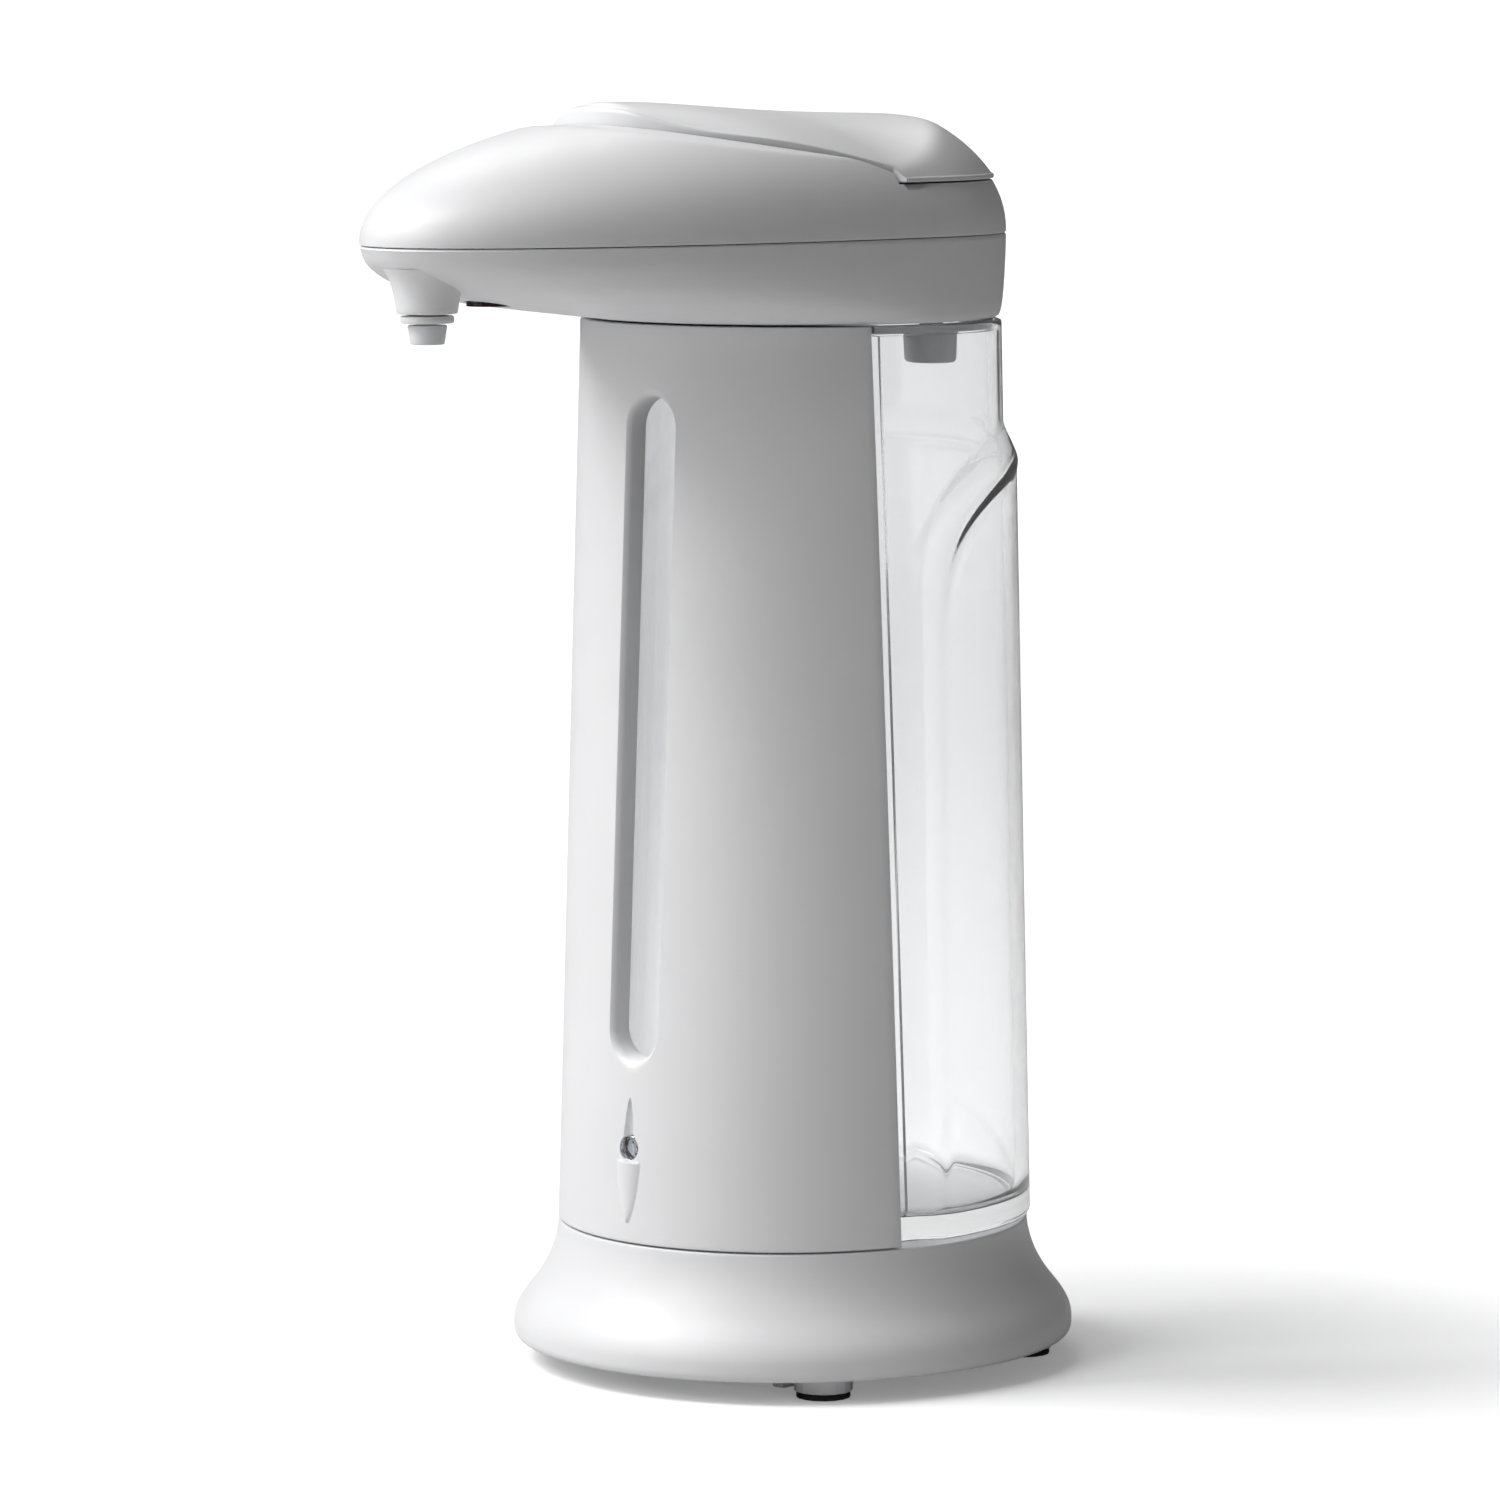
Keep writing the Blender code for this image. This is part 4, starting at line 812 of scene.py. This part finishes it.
def lid_top(x, y):
    height = lid_surface(x, y)
    height = np.where(y < HINGE_Y, np.minimum(height, HINGE_Z + nose_half(x, y)), height)
    skirt = dome(x, y, grown(HEAD_SIZE, LID_PROUD), DOME_LOW_Z, DOME_RISE + LID_PROUD)
    skirt = np.maximum(skirt, LID_SKIRT_Z + 0.8)
    behind = smoothstep(LID_NOTCH_Y - 3, LID_NOTCH_Y, y)
    return between(height, soft_min(height, skirt, 0.7), behind)


def raised(points, height):
    """Plan points lifted to a height that depends on their place."""
    return np.column_stack([points, height(points[:, 0], points[:, 1])])


def field_rings(outline, shares, height):
    """Rings between the middle of a face and its outline in plan, at these shares of the way."""
    return [raised(between(np.array(FACE_MIDDLE), outline, share), height) for share in shares]


def level_ring(points, z):
    return np.column_stack([points, np.full(len(points), z)])


def make_head_upper():
    plan = egg(HEAD_SIZE, 0)[:, :2]
    shares = np.sin(math.pi / 2 * np.arange(56, 0, -1) / 56)

    def crown(x, y):
        return np.minimum(dome(x, y, HEAD_SIZE, DOME_LOW_Z + 0.35, DOME_RISE - 0.35), dome_clip(x))

    rim = [egg(grown(HEAD_SIZE, -0.12), DOME_FOOT_Z), egg(grown(HEAD_SIZE, -0.02), DOME_FOOT_Z + 0.12)]
    shell = loft("head_dome", rim + field_rings(plan, shares, crown))
    inside_size = grown(HEAD_SIZE, -HEAD_WALL)
    inside_plan = egg(inside_size, 0, 96)[:, :2]

    def ceiling(x, y):
        under_dome = dome(x, y, inside_size, DOME_LOW_Z, DOME_RISE - HEAD_WALL)
        under_lid = lid_surface(x, np.maximum(y, -25)) - LID_THICK - GAP - HEAD_WALL
        under_clip = np.minimum(dome_clip(x) - HEAD_WALL, HINGE_Z - 4.7)
        height = np.minimum(np.minimum(under_dome, under_lid), under_clip)
        return np.where(y > LID_NOTCH_Y - 2.2, np.minimum(height, DECK_Z - 1.8), height)

    rings = [egg(inside_size, DOME_LOW_Z - 2, 96)] + field_rings(inside_plan, shares[::4], ceiling)
    inside = loft("head_inside", rings)

    def seat(x, y):
        return lid_surface(x, y) - LID_THICK - GAP

    outline = lid_outline(GAP)
    steps = field_rings(outline, np.linspace(0.05, 1, 24), seat)
    recess = loft("lid_recess", steps + [level_ring(outline, 215.0)])
    shifted = outline - (0, GROOVE_GAP)
    groove = loft("hinge_groove", [level_ring(shifted, z) for z in (GROOVE_Z, 205)])
    groove_y = (LID_FRONT_Y - 10, HINGE_Y + 2.4)
    combined(groove, "INTERSECT", [block("groove_end", (-GROOVE_HALF, GROOVE_HALF), groove_y, (190, 200))])
    cut(
        shell,
        recess,
        block("deck_space", (-50, 50), (LID_NOTCH_Y - GAP, 60), (DECK_Z, 220)),
        inside,
        groove,
        cylinder("funnel_pass", (0, FILLER_Y), FILLER_RADIUS + GAP, (180, 200), 96),
    )
    # The lug's foot is a hair narrower and shorter than its bar, so that no two faces coincide
    foot_half = LUG_HALF - 0.05
    foot_y = (HINGE_Y + 3.8, HINGE_Y + LUG_REACH - 0.05)
    foot = block("lug_foot", (-foot_half, foot_half), foot_y, (194, HINGE_Z))
    join(shell, loft("hinge_lug", [lug_outline(x) for x in (-LUG_HALF, LUG_HALF)]), foot)
    cut(shell, rod("lug_bore", PIN_RADIUS, (-20, 20), "X", (HINGE_Y, HINGE_Z)))
    piece(shell, MATERIALS["white_shell"], "white_shell", "housing", "head_upper_shell")


def lug_outline(x):
    """The hinge lug from the side: round about the pin, then a straight bar to the rear."""
    side = []
    for i in range(25):
        angle = math.radians(-58 - i * 10)
        side.append((HINGE_Y + LUG_RADIUS * math.cos(angle), HINGE_Z + LUG_RADIUS * math.sin(angle)))
    side += [(HINGE_Y + LUG_REACH, HINGE_Z + rise) for rise in (LUG_THICK_HALF, -LUG_THICK_HALF)]
    return [(x, y, z) for y, z in side]


def lid_outline(outset=0.0):
    """The lid in plan: a pointed front that widens to the notch, then the round rear."""
    share = np.linspace(0, 1, 60)
    x = LID_HALF_WIDTH * share
    front = np.column_stack([x + outset * (share > 0), lid_front(x)])
    front[0, 1] -= outset
    angle = np.radians(np.linspace(LID_REAR_START, 90, 60))
    rear = oval(grown(LID_REAR_SIZE, outset), angle, 0)[:, :2]
    half = np.vstack([front, rear])
    half[-1, 0] = 0
    mirror = half[-2:0:-1] * (-1, 1)
    return np.vstack([half, mirror])


def make_lid():
    outline = lid_outline()
    before = np.roll(outline, 1, axis=0)
    after = np.roll(outline, -1, axis=0)
    tangent = after - before
    tangent /= np.linalg.norm(tangent, axis=1, keepdims=True)
    inward = np.column_stack([-tangent[:, 1], tangent[:, 0]])
    behind = smoothstep(LID_FRONT_Y + 3, LID_FRONT_Y + 10, outline[:, 1])
    rounding = between(LID_ROUNDING, LID_EDGE, behind)
    inner_line = outline + inward * rounding[:, None]
    under = field_rings(inner_line, (0.05, 0.2, 0.35, 0.5, 0.65, 0.8, 0.9, 0.955), lid_under)
    under += field_rings(inner_line, (0.96,), lid_rim)
    rim_height = lid_rim(outline[:, 0], outline[:, 1])
    under.append(np.column_stack([outline + inward * 0.15, rim_height]))
    edge = []
    for turn in np.linspace(0, math.pi / 2, 7):
        points = outline + inward * rounding[:, None] * (1 - math.cos(turn))
        drop = rounding * (1 - math.sin(turn))
        edge.append(np.column_stack([points, lid_top(inner_line[:, 0], inner_line[:, 1]) - drop]))
    low_edge = np.column_stack([outline, np.minimum(rim_height + 0.15, edge[0][:, 2] - 0.05)])
    top = field_rings(inner_line, np.linspace(0.985, 0.04, 60), lid_top)
    lid = loft("lid_cover", under + [low_edge] + edge + top, sharp_angle=40)
    knuckle = rod("lid_knuckle", KNUCKLE_RADIUS, (-KNUCKLE_HALF, KNUCKLE_HALF), "X", (HINGE_Y, HINGE_Z))
    plug = cylinder("lid_plug", (0, FILLER_Y), 10.4, (190.5, 196.0))
    join(lid, knuckle, plug)
    pocket_y = (LID_FRONT_Y + 0.5, HINGE_Y + LUG_REACH + 0.5)
    pocket = block("lug_pocket", (-POCKET_HALF, POCKET_HALF), pocket_y, (185, HINGE_Z + 1.5))
    bore_half = KNUCKLE_HALF - 0.5
    cut(lid, pocket, rod("pin_bore", PIN_RADIUS, (-bore_half, bore_half), "X", (HINGE_Y, HINGE_Z)))
    piece(lid, MATERIALS["white_lid"], "white_lid", "lid", "lid")


def lid_under(x, y):
    """The lid's underside. In front of the notch it reaches down to just above the head's flat top."""
    height = lid_top(x, y) - LID_THICK
    front = np.minimum(height, dome_clip(x) + LID_LIFT)
    return np.where(y > LID_NOTCH_Y, height, front)


def lid_rim(x, y):
    """The same at the lid's rim, whose skirt hangs down behind the notch."""
    return np.where(y > LID_NOTCH_Y + 0.6, LID_SKIRT_Z, lid_under(x, y))


def make_lid_seal():
    profile = [(10.6, 188.9), (12.6, 188.95), (13.2, 189.3), (13.2, 189.9), (12.9, 190.2)]
    seal = turned("seal_disc", (0, FILLER_Y), profile, 96)
    piece(seal, MATERIALS["silicone"], "silicone", "lid", "lid_seal")


def make_funnel():
    outer, inner = FILLER_RADIUS, FILLER_RADIUS - 1.2
    low, rim, top = 165.9, DECK_Z + GAP, FUNNEL_TOP_Z
    profile = [(outer, low), (outer, rim), (14.8, rim), (15.0, DECK_Z + 0.5), (15.0, top - 0.3)]
    profile += [(14.7, top), (inner + 0.5, top), (inner + 0.1, top - 0.2), (inner, top - 0.6), (inner, low)]
    funnel = turned("funnel_ring", (0, FILLER_Y), profile, 96, loop=True)
    piece(funnel, MATERIALS["inner_white"], "inner_white", "housing", "filler_funnel")


def make_nozzle():
    profile = [(3.75, 167.6), (3.95, 167.68), (4.04, 167.9), (4.04, 168.45)]
    profile += [(3.9, 168.7), (1.7, 168.7), (1.7, 167.6)]
    ring = turned("nozzle_collar_ring", (0, NOZZLE_Y), profile, loop=True)
    piece(ring, MATERIALS["inner_white"], "inner_white", "housing", "nozzle_ring")
    profile = [(2.35, 164.4), (2.55, 164.5), (2.63, 164.8), (2.98, 167.1)]
    profile += [(2.9, 167.3), (1.6, 167.3), (1.6, 164.6), (1.75, 164.4)]
    tip = turned("nozzle_spout", (0, NOZZLE_Y), profile, loop=True)
    piece(tip, MATERIALS["silicone"], "silicone", "housing", "nozzle_tip")


# ---------------------------------------------------------------- stage, light and camera


def maths(tree, operation, first, second):
    """A maths node's result. Each input is a number or another node's output."""
    node = tree.nodes.new("ShaderNodeMath")
    node.operation = operation
    for socket, value in zip(node.inputs, (first, second)):
        if isinstance(value, float):
            socket.default_value = value
        else:
            tree.links.new(value, socket)
    return node.outputs["Value"]


def seen_directly(tree):
    """1 for what the camera sees straight, less through clear plastic, and 0 for light that bounces."""
    path = tree.nodes.new("ShaderNodeLightPath")
    through = maths(tree, "MULTIPLY", path.outputs["Is Transmission Ray"], SEEN_THROUGH)
    either = maths(tree, "MAXIMUM", path.outputs["Is Camera Ray"], through)
    unbounced = maths(tree, "LESS_THAN", path.outputs["Diffuse Depth"], 0.5)
    return maths(tree, "MULTIPLY", either, unbounced)


def make_stage():
    """A wide white floor. It is darker to the light that bounces off it, so the object keeps its shading."""
    floor_material, tree, shader = new_material("floor_paper")
    paper = noise(tree, 60, 3)
    looked_at = seen_directly(tree)
    tone = tree.nodes.new("ShaderNodeMix")
    tone.data_type = "RGBA"
    tree.links.new(looked_at, tone.inputs["Factor"])
    tone.inputs["A"].default_value = grey(FLOOR_BOUNCE)
    tree.links.new(ramp(tree, paper.outputs["Fac"], 0.9, 0.92), tone.inputs["B"])
    tree.links.new(tone.outputs["Result"], shader.inputs["Base Color"])
    shader.inputs["Roughness"].default_value = 0.9
    shader.inputs["Specular IOR Level"].default_value = 0.1
    shader.inputs["Emission Color"].default_value = (1, 1, 1, 1)
    place = tree.nodes.new("ShaderNodeTexCoord")
    reach = tree.nodes.new("ShaderNodeVectorMath")
    reach.operation = "LENGTH"
    tree.links.new(place.outputs["Object"], reach.inputs[0])
    # Painted light: a glow by distance from the middle, added only where the floor is looked at, weakest
    # next to the object so its shadow stays there
    furthest = FLOOR_GLOW[-1][0]
    glow = tree.nodes.new("ShaderNodeValToRGB")
    glow.color_ramp.interpolation = "EASE"
    for _ in FLOOR_GLOW[2:]:
        glow.color_ramp.elements.new(0.5)
    for element, (distance, level) in zip(glow.color_ramp.elements, FLOOR_GLOW):
        element.position = distance / furthest
        element.color = grey(level)
    tree.links.new(maths(tree, "DIVIDE", reach.outputs["Value"], furthest), glow.inputs["Fac"])
    seen = maths(tree, "MULTIPLY", glow.outputs["Color"], looked_at)
    tree.links.new(seen, shader.inputs["Emission Strength"])
    bpy.ops.mesh.primitive_plane_add(size=60, location=(0, 0, 0))
    floor = bpy.context.object
    floor.name = "floor"
    floor.data.materials.append(floor_material)


def area_light(name, place, power):
    data = bpy.data.lights.new(name, "AREA")
    data.shape = "RECTANGLE"
    data.size = data.size_y = LIGHT_SIZE
    data.energy = power
    light = bpy.data.objects.new(name, data)
    light.location = place
    aim = Vector(LIGHT_TARGET) - Vector(place)
    light.rotation_euler = aim.to_track_quat("-Z", "Y").to_euler()
    bpy.context.scene.collection.objects.link(light)


def make_lights():
    world = bpy.data.worlds.new("studio")
    bpy.context.scene.world = world
    world.use_nodes = True
    tree = world.node_tree
    background = tree.nodes["Background"]
    background.inputs["Color"].default_value = (1, 1, 1, 1)
    level = tree.nodes.new("ShaderNodeMapRange")
    level.inputs["To Min"].default_value = WORLD_LIGHT
    level.inputs["To Max"].default_value = WORLD_SEEN
    tree.links.new(seen_directly(tree), level.inputs["Value"])
    tree.links.new(level.outputs["Result"], background.inputs["Strength"])
    for name, place, power in LIGHTS:
        area_light(name, place, power)


def make_camera():
    azimuth = math.radians(CAMERA_AZIMUTH)
    x = CAMERA_DISTANCE * math.sin(azimuth)
    y = -CAMERA_DISTANCE * math.cos(azimuth)
    heading = math.atan2(-y, -x) + math.radians(CAMERA_YAW)
    pitch = math.radians(CAMERA_PITCH)
    roll = math.radians(CAMERA_ROLL)
    level = math.cos(pitch)
    forward = Vector((math.cos(heading) * level, math.sin(heading) * level, -math.sin(pitch)))
    right = forward.cross(Vector((0, 0, 1))).normalized()
    up = right.cross(forward)
    turned_right = right * math.cos(roll) + up * math.sin(roll)
    turned_up = -right * math.sin(roll) + up * math.cos(roll)
    data = bpy.data.cameras.new("camera")
    data.sensor_width = SENSOR_WIDTH
    data.lens = LENS
    data.clip_end = 50
    camera = bpy.data.objects.new("camera", data)
    turn = Matrix((turned_right, turned_up, -forward)).transposed().to_4x4()
    camera.matrix_world = Matrix.Translation(Vector((x, y + AXIS_Y, CAMERA_HEIGHT)) * MM) @ turn
    bpy.context.scene.collection.objects.link(camera)
    bpy.context.scene.camera = camera


finish_cad_nodes()
make_base()
make_column()
make_window()
make_status_lens()
make_tank()
make_vent()
make_head_lower()
make_head_upper()
make_lid()
make_lid_seal()
make_funnel()
make_nozzle()
make_stage()
make_lights()
make_camera()
bpy.context.scene.view_settings.view_transform = "Standard"
